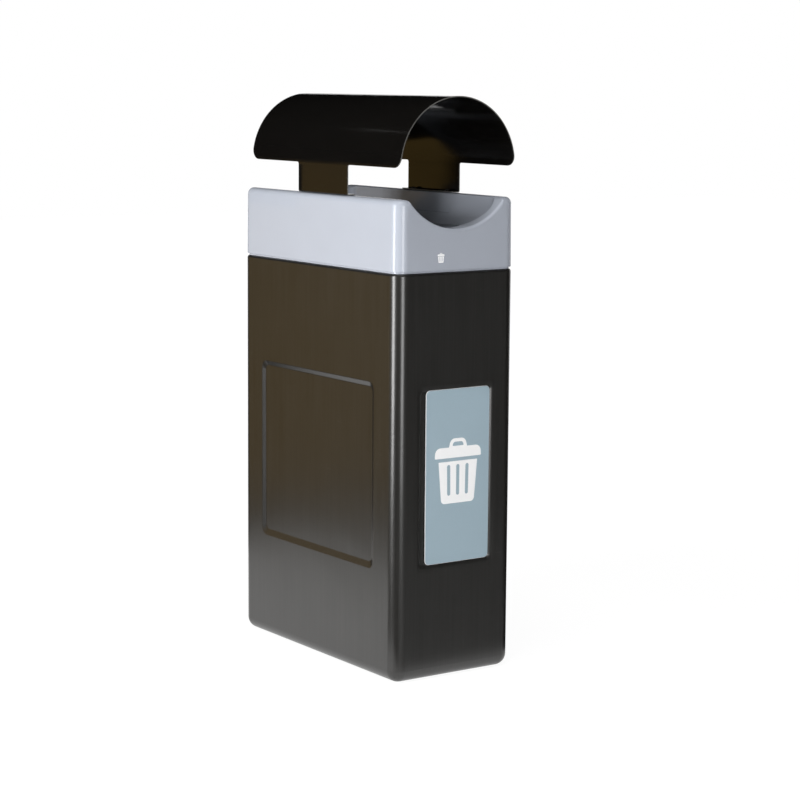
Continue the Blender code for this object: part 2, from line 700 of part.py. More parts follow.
def hinge(side, name, body, lid):
    """One butt hinge on the rear wall: a leaf on the body, a leaf on the lid and a headed pin."""
    x = side * HINGE_OFFSET
    axis = HINGE_AXIS + Vector((x, 0, 0))
    along_x = Matrix.Rotation(radians(90), 4, "Y")
    outer_length = (HINGE_WIDTH - 2 * KNUCKLE_GAP) / 3
    bore = HINGE_PIN_RADIUS + HINGE_PIN_CLEARANCE
    leaf_y = HALF_LENGTH + SEAT_GAP + HINGE_SHEET / 2

    def leaf(part, direction, knuckles, notches, holes):
        """A leaf with its knuckles; direction is 1 up the lid and -1 down the body."""
        low, high = sorted((axis.z, axis.z + direction * HINGE_LEAF_HEIGHT))
        plate = box(
            f"{part}_hinge_leaf_{name}",
            (HINGE_WIDTH, HINGE_SHEET, high - low),
            (x, leaf_y, (low + high) / 2),
            ZINC,
        )
        notch_size = (
            outer_length + 2 * KNUCKLE_GAP,
            2 * KNUCKLE_RADIUS,
            2 * (KNUCKLE_RADIUS + KNUCKLE_GAP),
        )
        for index, offset in enumerate(notches):
            notch = box(f"{part}_notch_{name}_{index}", notch_size, (x + offset, leaf_y, axis.z))
            boolean(plate, notch)
        for cutter in holes:
            boolean(plate, cutter)
        for index, offset in enumerate(knuckles):
            place = Matrix.Translation(axis + Vector((offset, 0, 0))) @ along_x
            barrel_name = f"{part}_knuckle_{name}_{index}"
            length = outer_length - 2 * KNUCKLE_TRIM
            boolean(plate, drill(barrel_name, KNUCKLE_RADIUS, length, place, ROUND_STEPS), "UNION")
        boolean(plate, drill(
            f"{part}_bore_{name}", bore, HINGE_WIDTH + 2 * OVERRUN, Matrix.Translation(axis) @ along_x,
            ROUND_STEPS,
        ))
        return plate

    rear = Matrix.Rotation(radians(-90), 4, "X")
    rivets = {"body": [], "lid": []}
    for part, direction, wall, thickness in (("body", -1, body, BODY_WALL), ("lid", 1, lid, LID_WALL)):
        z = axis.z + direction * (HINGE_LEAF_HEIGHT - RIVET_EDGE)
        lean = LID_TAPER * (z - SEAM_HEIGHT) / LID_HEIGHT if part == "lid" else 0
        for end, along in (("a", -1), ("b", 1)):
            place = at(x + along * RIVET_SPACING / 2, leaf_y, z) @ rear
            length = 4 * thickness + HINGE_SHEET
            cutter = drill(f"{part}_rivet_hole_{name}_{end}", RIVET_RADIUS + SEAT_GAP, length, place)
            boolean(wall, cutter)
            rivets[part].append(cutter)
            rivet(f"{part}_rivet_{name}_{end}", thickness + lean, place)

    step = outer_length + KNUCKLE_GAP
    leaf("body", -1, (-step, step), (0,), rivets["body"])
    leaf("lid", 1, (0,), (-step, step), rivets["lid"])
    head = HINGE_WIDTH / 2 + SEAT_GAP
    turned(f"hinge_pin_{name}", [
        (0, head + HINGE_PIN_HEAD),
        (HINGE_PIN_HEAD_RADIUS, head + HINGE_PIN_HEAD),
        (HINGE_PIN_HEAD_RADIUS, head),
        (HINGE_PIN_RADIUS, head),
        (HINGE_PIN_RADIUS, -head),
        (HINGE_PIN_HEAD_RADIUS, -head),
        (HINGE_PIN_HEAD_RADIUS, -head - HINGE_PIN_HEAD),
        (0, -head - HINGE_PIN_HEAD),
    ], Matrix.Translation(axis) @ along_x, ROUND_STEPS, ZINC)


def rivet(name, wall, place):
    """A domed blind rivet through a leaf and a wall, its tail spread behind the wall."""
    outside = HINGE_SHEET / 2 + SEAT_GAP
    inside = -outside - wall - SEAT_GAP
    dome_shares = [(0, 1), (0.6, 0.8), (1, 0)]
    profile = [
        (RIVET_HEAD_RADIUS * across, outside + RIVET_HEAD_HEIGHT * up)
        for across, up in dome_shares
    ]
    profile += [(RIVET_RADIUS, outside), (RIVET_RADIUS, inside)]
    profile += [
        (RIVET_TAIL_RADIUS, inside),
        (RIVET_TAIL_RADIUS, inside - RIVET_TAIL),
        (0, inside - RIVET_TAIL),
    ]
    turned(name, profile, place, HOLE_STEPS, ZINC)


# Liner

def liner():
    """A tapered rigid liner that stands on the body's floor, with a rolled rim and lugs for the handles."""
    top_x, top_y = LINER_TOP_WIDTH / 2, LINER_TOP_LENGTH / 2

    def section(inset, height):
        """The liner's outline at a height, drawn in by its taper and an inset."""
        share = 1 - (height - LINER_FLOOR) / LINER_HEIGHT
        return (
            top_x - LINER_TAPER_WIDTH * share - inset,
            top_y - LINER_TAPER_LENGTH * share - inset,
            LINER_CORNER - inset,
            height,
        )

    outer = []
    for rise, run in quarter(ROUNDING_STEPS):
        height = LINER_FLOOR + LINER_BASE_RADIUS * (1 - run)
        outer.append(section(LINER_BASE_RADIUS * (1 - rise), height))
    under_rim = LINER_TOP - LINER_RIM_THICKNESS
    outer.append(section(0, under_rim))
    outer.append(section(-LINER_RIM_WIDTH, under_rim))
    outer.append(section(-LINER_RIM_WIDTH, LINER_TOP))
    shell = box_loft("liner", outer, finish=LINER_PLASTIC)

    inner_base = LINER_BASE_RADIUS - LINER_WALL
    inner = []
    for rise, run in quarter(ROUNDING_STEPS):
        height = LINER_FLOOR + LINER_WALL + inner_base * (1 - run)
        inner.append(section(LINER_WALL + inner_base * (1 - rise), height))
    inner.append(section(LINER_WALL, LINER_TOP + OVERRUN))
    boolean(shell, box_loft("liner_cavity", inner))

    lug_x = HANDLE_WIDTH / 2
    for end in (-1, 1):
        y = end * HANDLE_AXIS_Y
        for side in (-1, 1):
            name = f"lug_{end}_{side}"
            lug = box(
                name,
                (LUG_WIDTH, LUG_DEPTH + LINER_WALL, LUG_HEIGHT),
                (side * lug_x, y + end * LINER_WALL / 2, HANDLE_AXIS_HEIGHT),
            )
            boolean(shell, lug, "UNION")
        along_x = Matrix.Rotation(radians(90), 4, "Y")
        hole_radius = (HANDLE_RADIUS + HANDLE_CLEARANCE) / cos(pi / HOLE_STEPS)
        boolean(shell, drill(
            f"lug_hole_{end}", hole_radius, HANDLE_WIDTH + 2 * LUG_WIDTH,
            at(0, y, HANDLE_AXIS_HEIGHT) @ along_x,
        ))
    return shell


def handle(name, end):
    """A bent wire bail whose ends turn in two lugs; it hangs down inside the liner's end wall."""
    y = end * HANDLE_AXIS_Y
    small = 2 * HANDLE_RADIUS
    inner = HANDLE_WIDTH / 2 - LUG_WIDTH / 2 - HANDLE_CLEARANCE - small
    tip = HANDLE_WIDTH / 2 + LUG_WIDTH / 2 + HANDLE_END
    top, low = HANDLE_AXIS_HEIGHT, HANDLE_AXIS_HEIGHT - HANDLE_DROP
    corners = filleted([
        (tip, top, 0),
        (inner, top, small),
        (inner, low, HANDLE_BEND),
        (-inner, low, HANDLE_BEND),
        (-inner, top, small),
        (-tip, top, 0),
    ])
    curve = bpy.data.curves.new(name, "CURVE")
    curve.dimensions = "3D"
    curve.bevel_depth = HANDLE_RADIUS
    curve.bevel_resolution = 1
    curve.use_fill_caps = True
    spline = curve.splines.new("POLY")
    spline.points.add(len(corners) - 1)
    for point, (x, z) in zip(spline.points, corners):
        point.co = (x, 0, z - top, 1)
    obj = bpy.data.objects.new(name, curve)
    curve.materials.append(ZINC)
    PARTS.objects.link(obj)
    obj.location = (0, y, top)
    return obj


def hang_on_lid_axis():
    """Parent every lid piece to an empty on the hinge axis."""
    pivot = bpy.data.objects.new("lid_pivot", None)
    PARTS.objects.link(pivot)
    pivot.location = HINGE_AXIS
    bpy.context.view_layer.update()
    carried = ("lid_", "hood")
    for obj in PARTS.objects:
        if obj.name.startswith(carried) and obj is not pivot:
            obj.parent = pivot
            obj.matrix_parent_inverse = pivot.matrix_world.inverted()


def main():
    """Build every piece of the trash can."""
    body = body_shell()
    sign_plate()
    lid = lid_shell()
    sheet = hood()
    hood_fasteners(sheet, lid)
    hinge(-1, "left", body, lid)
    hinge(1, "right", body, lid)
    liner()
    handle("liner_handle_front", -1)
    handle("liner_handle_rear", 1)
    hang_on_lid_axis()


main()
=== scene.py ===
"""Looks of a slim commercial trash can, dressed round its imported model.

Everything is in metres, with +Z up. The narrow front with the sign plate faces -Y, the hinges are at +Y, and
the origin is the middle of the base on the floor. Each class is one sub-assembly of the real can.
"""

import logging
from collections.abc import Callable, Iterable, Sequence
from dataclasses import dataclass, field
from enum import Enum
from functools import partial
from math import acos, cos, pi, radians, sin
from typing import Any

import bmesh
import bpy
from mathutils import Matrix, Vector


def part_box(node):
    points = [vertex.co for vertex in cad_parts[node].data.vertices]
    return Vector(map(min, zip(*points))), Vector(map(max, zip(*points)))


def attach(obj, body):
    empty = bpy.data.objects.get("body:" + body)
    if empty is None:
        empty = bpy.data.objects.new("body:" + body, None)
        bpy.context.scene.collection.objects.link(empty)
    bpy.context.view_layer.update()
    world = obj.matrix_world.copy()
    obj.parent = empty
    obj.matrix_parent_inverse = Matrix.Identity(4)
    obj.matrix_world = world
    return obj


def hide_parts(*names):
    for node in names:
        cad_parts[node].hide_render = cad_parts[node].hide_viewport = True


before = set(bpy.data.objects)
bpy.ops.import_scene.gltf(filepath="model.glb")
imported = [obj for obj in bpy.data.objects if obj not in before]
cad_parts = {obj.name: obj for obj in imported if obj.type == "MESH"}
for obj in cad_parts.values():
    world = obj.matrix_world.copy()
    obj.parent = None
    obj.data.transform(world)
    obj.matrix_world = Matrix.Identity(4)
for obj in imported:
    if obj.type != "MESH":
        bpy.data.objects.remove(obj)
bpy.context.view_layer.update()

BMesh = bmesh.types.BMesh
Material = bpy.types.Material
Socket = bpy.types.NodeSocket
Tree = bpy.types.NodeTree
Colour = tuple[float, float, float, float]
Point = tuple[float, float, float]
Profile = list[tuple[float, float]]

LOG = logging.getLogger("trash_can")
MERGE = 0.000001
SMOOTH_ANGLE = radians(35)
BEVEL_ANGLE = radians(40)
CORNER_STEPS = 16
OVERCUT = 0.004


class Body(Enum):
    """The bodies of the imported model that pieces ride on."""

    BIN = "bin"
    LID = "lid"
    FRONT_BAIL = "handle_front"
    REAR_BAIL = "handle_rear"


class Slot(Enum):
    """The material slots of the record, one of which each new piece is handed; nothing reads it."""

    BODY = "body_plastic"
    LID = "lid_plastic"
    HOOD = "hood_enamel"
    SIGN = "sign_sheet"
    LINER = "liner_plastic"
    ZINC = "zinc_steel"
    BLACK = "black_steel"


# Colour and nodes


def linear(code: str, factor: float = 1.0) -> Colour:
    """Turn an sRGB hex colour to the linear values that a shader takes.

    Args:
        code: six hex digits, such as "d0d4de".
        factor: how many times lighter the colour is made, up to white.

    Returns:
        Linear red, green, blue and an alpha of 1.
    """
    parts = [int(code[at : at + 2], 16) / 255 for at in (0, 2, 4)]
    flat = [part / 12.92 if part <= 0.04045 else ((part + 0.055) / 1.055) ** 2.4 for part in parts]
    return (*(min(part * factor, 1.0) for part in flat), 1.0)


def add_node(
    tree: Tree, kind: str, inputs: dict[str | int, Any] | None = None, output: str | int = 0, **settings: Any
) -> Socket:
    """Add one node with its settings, its input values and its links.

    Args:
        tree: the node tree that gets the node.
        kind: the node's type name, without "ShaderNode".
        inputs: a value or another node's output for each named or numbered input.
        output: name or number of the output that is wanted.
        settings: values of the node's own properties.

    Returns:
        That output of the new node.
    """
    node = tree.nodes.new(f"ShaderNode{kind}")
    for name, value in settings.items():
        setattr(node, name, value)
    for name, value in (inputs or {}).items():
        if isinstance(value, Socket):
            tree.links.new(value, node.inputs[name])
        else:
            node.inputs[name].default_value = value
    return node.outputs[output]


def principled(name: str, values: dict[str, Any]) -> Material:
    """Start a Principled material.

    Args:
        name: the material's name.
        values: plain values of the shader's inputs.

    Returns:
        The material.
    """
    made = bpy.data.materials.new(name)
    made.use_nodes = True
    for socket, value in values.items():
        made.node_tree.nodes["Principled BSDF"].inputs[socket].default_value = value
    return made


@dataclass(frozen=True)
class Finish:
    """A real material and how its surface was made."""

    name: str
    colour: str
    roughness: float
    specular: float = 0.5
    metallic: float = 0.0

    def material(self) -> Material:
        """Make the node material.

        Returns:
            A Principled material with this finish's own detail.
        """
        made = principled(self.name, {
            "Base Color": linear(self.colour), "Roughness": self.roughness, "Metallic": self.metallic,
            "Specular IOR Level": self.specular,
        })
        made.diffuse_color = linear(self.colour)
        tree = made.node_tree
        for name, value in self.detail(tree, add_node(tree, "TexCoord", output="Object")).items():
            tree.links.new(value, tree.nodes["Principled BSDF"].inputs[name])
        return made

    def detail(self, tree: Tree, place: Socket) -> dict[str, Socket]:
        """Draw what the eye sees on the real surface.

        Args:
            tree: the material's node tree.
            place: the coordinates, in metres.

        Returns:
            What drives each of the shader's inputs that vary.
        """
        return {}

    def lumps(
        self, tree: Tree, place: Socket, size: float, detail: float = 2.0, stretch: Point = (1, 1, 1)
    ) -> Socket:
        """Draw a soft uneven pattern of a real size.

        Args:
            tree: the material's node tree.
            place: the coordinates, in metres.
            size: length of one lump, in metres.
            detail: how many finer layers lie over it.
            stretch: how many times longer a lump is along X, Y and Z.

        Returns:
            The pattern, from 0 to 1.
        """
        mapped = add_node(tree, "Mapping", {"Vector": place, "Scale": tuple(1 / part for part in stretch)})
        return add_node(tree, "TexNoise", {
            "Vector": mapped, "Scale": 1 / size, "Detail": detail, "Roughness": 0.55,
        })


@dataclass(frozen=True)
class MouldedPlastic(Finish):
    """Polyethylene from a steel mould: a fine even grain, slow waves where the wall cooled, faint handling marks."""

    worn: str = "8a8880"
    mottle: float = 0.06
    streak: float = 0.10
    grain_size: float = 0.0022
    grain_depth: float = 0.00004
    wave_size: float = 0.16
    wave_depth: float = 0.0012
    scuffs: float = 0.15
    cloud_size: float = 0.09
    streak_width: float = 0.004
    scratch_width: float = 0.005
    patch_size: float = 0.13
    dulling: float = 0.18
    # Painted sheen of the white floor, with a little dust: the colour is lightened towards the foot
    dust_and_sheen: float = 0.0
    dust_and_sheen_foot: float = 0.1
    dust_and_sheen_top: float = 0.55
    dust_and_sheen_patch: float = 0.05

    def detail(self, tree: Tree, place: Socket) -> dict[str, Socket]:
        """Draw streaks, scuffs, a lighter film near the floor that is painted sheen of the white floor with a little
        dust, grain and slow waves.

        Args:
            tree: the material's node tree.
            place: the coordinates, in metres.

        Returns:
            What drives each of the shader's inputs that vary.
        """
        add = partial(add_node, tree)
        marks = self.scratches(tree, place)
        colour = add("Mix", {0: marks, 6: self.streaks(tree, place), 7: linear(self.worn)}, 2, data_type="RGBA")
        # Painted floor sheen with a little dust: the colour grows lighter towards the foot
        if self.dust_and_sheen > 0:
            colour = add("Mix", {0: self.film(tree, place), 6: colour, 7: linear(self.worn)}, 2, data_type="RGBA")
        shine = add("MapRange", {0: marks, 2: 0.3, 3: self.roughness, 4: min(self.roughness + self.dulling, 1)})
        # A real grain of 0.3 to 0.5 mm is finer than a pixel, so it is drawn a few times coarser
        grain = self.lumps(tree, place, self.grain_size, 1.5)
        waves = add("Bump", {"Height": self.lumps(tree, place, self.wave_size, 1), "Distance": self.wave_depth})
        normal = add("Bump", {"Height": grain, "Distance": self.grain_depth, "Normal": waves})
        return {"Base Color": colour, "Roughness": shine, "Normal": normal}

    def streaks(self, tree: Tree, place: Socket) -> Socket:
        """Vary the colour in slow clouds and in faint upright streaks, left as the part slid off its mould.

        Args:
            tree: the material's node tree.
            place: the coordinates, in metres.

        Returns:
            The colour.
        """
        add = partial(add_node, tree)
        cloud = add("MapRange", {0: self.lumps(tree, place, self.cloud_size, 3), 1: 0.3, 2: 0.7})
        darker, lighter = linear(self.colour, 1 - self.mottle), linear(self.colour, 1 + self.mottle)
        colour = add("Mix", {0: cloud, 6: darker, 7: lighter}, 2, data_type="RGBA")
        upright = self.lumps(tree, place, self.streak_width, 2, (1, 1, 60))
        share = add("MapRange", {0: upright, 1: 0.35, 2: 0.7, 4: self.streak})
        return add("Mix", {0: share, 6: colour, 7: linear(self.worn)}, 2, data_type="RGBA")

    def scratches(self, tree: Tree, place: Socket) -> Socket:
        """Mask a few handling marks, 20 to 60 mm long, drawn a little wider than real ones so that they show.

        Args:
            tree: the material's node tree.
            place: the coordinates, in metres.

        Returns:
            The marks' strength, from 0 to 1.
        """
        add = partial(add_node, tree)
        across = self.lumps(tree, place, self.scratch_width, 3, (9, 9, 1))
        down = self.lumps(tree, place, self.scratch_width, 3, (1, 1, 10))
        lines = add("MapRange", {0: add("Math", {0: across, 1: down}, operation="MAXIMUM"), 1: 0.66, 2: 0.78})
        patches = add("MapRange", {0: self.lumps(tree, place, self.patch_size, 2), 1: 0.55, 2: 0.7, 4: self.scuffs})
        return add("Math", {0: lines, 1: patches}, operation="MULTIPLY")

    def film(self, tree: Tree, place: Socket) -> Socket:
        """Mask the lighter film near the floor, a painted sheen of the white floor with a little dust in it, thinner
        towards its upper end.

        Args:
            tree: the material's node tree.
            place: the coordinates, in metres.

        Returns:
            The film's strength, from 0 to 1.
        """
        add = partial(add_node, tree)
        height = add("SeparateXYZ", {0: place}, "Z")
        ends = {0: height, 1: self.dust_and_sheen_foot, 2: self.dust_and_sheen_top, 3: self.dust_and_sheen, 4: 0.0}
        film = add("MapRange", ends, interpolation_type="SMOOTHSTEP")
        patchy = add("MapRange", {0: self.lumps(tree, place, self.dust_and_sheen_patch, 4), 1: 0.3, 2: 0.7, 3: 0.85, 4: 1.15})
        return add("Math", {0: film, 1: patchy}, operation="MULTIPLY")


@dataclass(frozen=True)
class PowderCoat(Finish):
    """Baked powder on sheet steel: deep and glossy, with the faint ripple that painters call orange peel."""

    ripple_size: float = 0.004
    ripple_depth: float = 0.00004
    bend_size: float = 0.12
    bend_depth: float = 0.0006
    wipe_size: float = 0.05

    def detail(self, tree: Tree, place: Socket) -> dict[str, Socket]:
        """Draw the ripple of the baked powder, and slow changes of gloss from wiping.

        Args:
            tree: the material's node tree.
            place: the coordinates, in metres.

        Returns:
            What drives each of the shader's inputs that vary.
        """
        add = partial(add_node, tree)
        ripple = self.lumps(tree, place, self.ripple_size, 1)
        bend = add("Bump", {"Height": self.lumps(tree, place, self.bend_size, 0), "Distance": self.bend_depth})
        normal = add("Bump", {"Height": ripple, "Distance": self.ripple_depth, "Normal": bend})
        wiped = self.lumps(tree, place, self.wipe_size, 4, (1, 3, 1))
        shine = add("MapRange", {0: wiped, 1: 0.3, 2: 0.75, 3: self.roughness * 0.8, 4: self.roughness * 1.5})
        colour = add(
            "Mix", {0: wiped, 6: linear(self.colour), 7: linear(self.colour, 1.35)}, 2, data_type="RGBA"
        )
        return {"Base Color": colour, "Roughness": shine, "Normal": normal}


@dataclass(frozen=True)
class PrintedSheet(Finish):
    """A rigid sheet with a satin printed face: even colour, a fine print dot and a very flat surface."""

    dot_size: float = 0.0015
    dot_depth: float = 0.000012
    wave_size: float = 0.07
    wave_depth: float = 0.0003
    cloud_size: float = 0.08

    def detail(self, tree: Tree, place: Socket) -> dict[str, Socket]:
        """Draw the print's dot, the sheet's slow waves and a little change of gloss.

        Args:
            tree: the material's node tree.
            place: the coordinates, in metres.

        Returns:
            What drives each of the shader's inputs that vary.
        """
        add = partial(add_node, tree)
        darker, lighter = linear(self.colour, 0.96), linear(self.colour, 1.05)
        dots = self.lumps(tree, place, self.dot_size, 1)
        tint = add("Mix", {0: dots, 6: darker, 7: lighter}, 2, data_type="RGBA")
        cloud = add("MapRange", {0: self.lumps(tree, place, self.cloud_size, 2), 1: 0.3, 2: 0.7, 4: 0.35})
        colour = add("Mix", {0: cloud, 6: tint, 7: lighter}, 2, data_type="RGBA")
        waves = add("Bump", {"Height": self.lumps(tree, place, self.wave_size, 1), "Distance": self.wave_depth})
        normal = add("Bump", {"Height": dots, "Distance": self.dot_depth, "Normal": waves})
        shine = add("MapRange", {0: cloud, 2: 0.35, 3: self.roughness * 0.9, 4: self.roughness * 1.15})
        return {"Base Color": colour, "Roughness": shine, "Normal": normal}


@dataclass(frozen=True)
class ZincPlate(Finish):
    """Bright zinc plating on steel: soft grey patches, fine rolling lines and a dull bloom."""

    patch_size: float = 0.004
    line_size: float = 0.0006
    line_depth: float = 0.00001
    bloom: float = 0.2

    def detail(self, tree: Tree, place: Socket) -> dict[str, Socket]:
        """Draw the bloom, the plating's patches and the rolling lines.

        Args:
            tree: the material's node tree.
            place: the coordinates, in metres.

        Returns:
            What drives each of the shader's inputs that vary.
        """
        add = partial(add_node, tree)
        patches = add("MapRange", {0: self.lumps(tree, place, self.patch_size, 4), 1: 0.35, 2: 0.7})
        colour = add(
            "Mix", {0: patches, 6: linear(self.colour), 7: linear(self.colour, 0.72)}, 2, data_type="RGBA"
        )
        shine = add("MapRange", {0: patches, 3: self.roughness, 4: self.roughness + self.bloom})
        lines = self.lumps(tree, place, self.line_size, 1, (12, 1, 1))
        normal = add("Bump", {"Height": lines, "Distance": self.line_depth})
        return {"Base Color": colour, "Roughness": shine, "Normal": normal}


@dataclass(frozen=True)
class FoamTape(Finish):
    """Closed-cell foam: a matt face full of small round cells."""

    cell_size: float = 0.0008
    cell_depth: float = 0.0001

    def detail(self, tree: Tree, place: Socket) -> dict[str, Socket]:
        """Draw the cells as small pits, with painted shade that darkens each pit towards its middle.

        Args:
            tree: the material's node tree.
            place: the coordinates, in metres.

        Returns:
            What drives each of the shader's inputs that vary.
        """
        pits = add_node(tree, "TexVoronoi", {"Vector": place, "Scale": 1 / self.cell_size}, "Distance")
        # Painted shade: the colour is darker towards each pit's middle, where the bump is lowest
        ends = {0: pits, 6: linear(self.colour), 7: linear(self.colour, 1.8)}
        return {
            "Base Color": add_node(tree, "Mix", ends, 2, data_type="RGBA"),
            "Normal": add_node(tree, "Bump", {"Height": pits, "Distance": self.cell_depth}),
        }


class Finishes:
    """Every material of the can, each made once."""

    def __init__(self) -> None:
        """Make the materials."""
        # Rotomoulded polyethylene, almost black, which takes a soft sheen from the floor and the lamps, and near its
        # foot a painted sheen of the floor with a little dust
        self.body = MouldedPlastic(
            "rotomoulded_black_polyethylene", "1b1a18", 0.28, specular=0.74, dust_and_sheen=0.02, worn="7c7b79", streak=0.03,
            scuffs=0.16,
        ).material()
        # The same plastic in grey from a polished mould: smoother, with soft and clear highlights
        self.lid = MouldedPlastic(
            "moulded_grey_polyethylene", "a5aab4", 0.15, specular=0.33, mottle=0.012, grain_depth=0.00001,
            streak=0.002, scuffs=0.03, worn="d8dadf",
        ).material()
        # Gloss powder coat, pure black, which shows the lamps in its curve
        self.hood = PowderCoat("gloss_black_powder_coat", "0b0a09", 0.1, specular=0.34).material()
        # The same coat where it draws thin over a cut edge, made grey and light as a painted highlight of the lit
        # edge
        self.hood_edge_and_highlight = PowderCoat("thin_coat_and_painted_highlight_on_cut_edge", "545350", 0.3).material()
        # Printed rigid sheet, satin
        self.sign = PrintedSheet("printed_sign_sheet", "9eb2bd", 0.38, specular=0.3).material()
        # The same sheet's pale core, which shows at its cut edge
        self.core = PrintedSheet("white_sheet_core", "f4f5f6", 0.5, specular=0.4).material()
        # Cut vinyl film, white and satin
        self.vinyl = PrintedSheet("white_cut_vinyl", "fdfeff", 0.42, specular=0.4).material()
        # Closed-cell foam tape, dark and quite matt
        self.tape = FoamTape("closed_cell_foam_tape", "1c1c1c", 0.9, specular=0.2).material()
        # Moulded liner, charcoal, duller than the body
        self.liner = MouldedPlastic(
            "moulded_charcoal_liner", "37383b", 0.52, specular=0.35, mottle=0.08, scuffs=0.3, worn="77787a",
        ).material()
        # Zinc plating on steel, bright grey with a dull bloom
        self.zinc = ZincPlate("zinc_plated_steel", "b9bcc0", 0.32, metallic=1.0).material()
        # Bolts in the same black as the hood, a little duller
        self.black = PowderCoat("black_coated_steel", "121110", 0.3, specular=0.3, ripple_size=0.0015).material()


# Shapes


@dataclass(frozen=True)
class Section:
    """A rounded rectangle at a height: half sizes and corner radius."""

    half_x: float
    half_y: float
    radius: float
    height: float

    def point(self, index: int, steps: int) -> Vector:
        """Find one point of the outline.

        Args:
            index: number of the point, round from +X.
            steps: parts in one rounded corner.

        Returns:
            The point.
        """
        corner, step = divmod(index, steps + 1)
        sign_x = 1 if corner in (0, 3) else -1
        sign_y = 1 if corner in (0, 1) else -1
        angle = (corner + step / steps) * pi / 2
        return Vector((
            sign_x * (self.half_x - self.radius) + self.radius * cos(angle),
            sign_y * (self.half_y - self.radius) + self.radius * sin(angle),
            self.height,
        ))

    def moved(self, inset: float, height: float, least: float = 0.0005) -> "Section":
        """Draw the outline in by an inset, at another height.

        Args:
            inset: how far every side moves inwards.
            height: the new height.
            least: the smallest corner radius.

        Returns:
            The new section.
        """
        radius = max(self.radius - inset, least)
        return Section(self.half_x - inset, self.half_y - inset, radius, height)


def quarter(steps: int) -> Profile:
    """Give sine and cosine along a quarter turn.

    Args:
        steps: parts of the turn.

    Returns:
        Pairs from (0, 1) to (1, 0).
    """
    return [(sin(pi / 2 * step / steps), cos(pi / 2 * step / steps)) for step in range(steps + 1)]


def swept(bm: BMesh, rings: Sequence[Sequence[Point]], shut: bool = True) -> list[bmesh.types.BMEdge]:
    """Extrude one face through a row of outlines that have the same number of points.

    Args:
        bm: the mesh that gets the shape.
        rings: the outlines in order.
        shut: whether the first outline is closed with a face.

    Returns:
        The edges of the first outline.
    """
    order = bm.verts.layers.int.get("order") or bm.verts.layers.int.new("order")
    verts = [bm.verts.new(point) for point in rings[0]]
    for index, vert in enumerate(verts):
        vert[order] = index
    cap = bm.faces.new(verts)
    first = list(cap.edges)
    for ring in rings[1:]:
        cap = bmesh.ops.extrude_discrete_faces(bm, faces=[cap])["faces"][0]
        for vert in cap.verts:
            vert.co = ring[vert[order]]
    if shut:
        bmesh.ops.holes_fill(bm, edges=first, sides=0)
    return first


def stack(
    bm: BMesh, sections: Sequence[Section], steps: int, place: Matrix | None = None, shut: bool = True
) -> list[bmesh.types.BMEdge]:
    """Extrude one rounded outline through a row of sections.

    Args:
        bm: the mesh that gets the shape.
        sections: the outline at each height.
        steps: parts in one rounded corner.
        place: where the shape goes.
        shut: whether the first outline is closed with a face.

    Returns:
        The edges of the first outline.
    """
    place = place or Matrix()
    count = 4 * (steps + 1)
    rings = [[place @ section.point(index, steps) for index in range(count)] for section in sections]
    return swept(bm, rings, shut)


def block(sections: Sequence[Section], steps: int = CORNER_STEPS, place: Matrix | None = None) -> BMesh:
    """Make a closed block through a row of sections.

    Args:
        sections: the outline at each height.
        steps: parts in one rounded corner.
        place: where the block goes.

    Returns:
        The block as a new bmesh, facing outwards.
    """
    bm = bmesh.new()
    stack(bm, sections, steps, place)
    bmesh.ops.recalc_face_normals(bm, faces=bm.faces)
    return bm


def turned(profile: Sequence[tuple[float, float]], place: Matrix, steps: int) -> BMesh:
    """Turn a profile about Z.

    Args:
        profile: radius and height of each point, down the outer side.
        place: where the turned piece goes.
        steps: parts of the full turn.

    Returns:
        The turned piece as a new bmesh, facing outwards.
    """
    bm = bmesh.new()
    dots = [bm.verts.new((radius, 0, height)) for radius, height in profile]
    line = [bm.edges.new(pair) for pair in zip(dots, dots[1:])]
    bmesh.ops.spin(
        bm, geom=dots + line, cent=(0, 0, 0), axis=(0, 0, 1), dvec=(0, 0, 0), angle=2 * pi, steps=steps,
        use_merge=True, use_normal_flip=False, use_duplicate=False,
    )
    bmesh.ops.remove_doubles(bm, verts=bm.verts, dist=MERGE)
    loose = [edge for edge in bm.edges if edge.is_boundary]
    if loose:
        bmesh.ops.holes_fill(bm, edges=loose, sides=0)
    bmesh.ops.transform(bm, matrix=place, verts=bm.verts)
    bmesh.ops.recalc_face_normals(bm, faces=bm.faces)
    return bm


def soften(bm: BMesh, picked: Iterable[Any], radius: float, segments: int, affect: str = "VERTICES") -> None:
    """Round edges of a solid, or corners of a flat outline.

    Args:
        bm: the mesh.
        picked: the edges or corner points.
        radius: the rounding's radius.
        segments: parts of each rounding.
        affect: EDGES or VERTICES.
    """
    bmesh.ops.bevel(
        bm, geom=list(picked), offset=radius, offset_type="OFFSET", segments=segments, profile=0.5,
        affect=affect, material=-1,
    )


def rounded_box(size: Vector, centre: Vector, edge: float, segments: int = 2) -> BMesh:
    """Make a box with rounded edges.

    Args:
        size: its length along X, Y and Z.
        centre: its middle.
        edge: radius of its edges.
        segments: parts of each rounded edge.

    Returns:
        The box as a new bmesh.
    """
    bm = bmesh.new()
    bmesh.ops.create_cube(bm, size=1)
    bmesh.ops.transform(bm, matrix=Matrix.Translation(centre) @ Matrix.Diagonal((*size, 1)), verts=bm.verts)
    soften(bm, bm.edges, edge, segments, "EDGES")
    return bm


def mesh_of(bm: BMesh, name: str = "part") -> bpy.types.Mesh:
    """Turn a bmesh into a mesh.

    Args:
        bm: the bmesh, which is freed.
        name: the mesh's name.

    Returns:
        The mesh.
    """
    mesh = bpy.data.meshes.new(name)
    bm.to_mesh(mesh)
    bm.free()
    return mesh


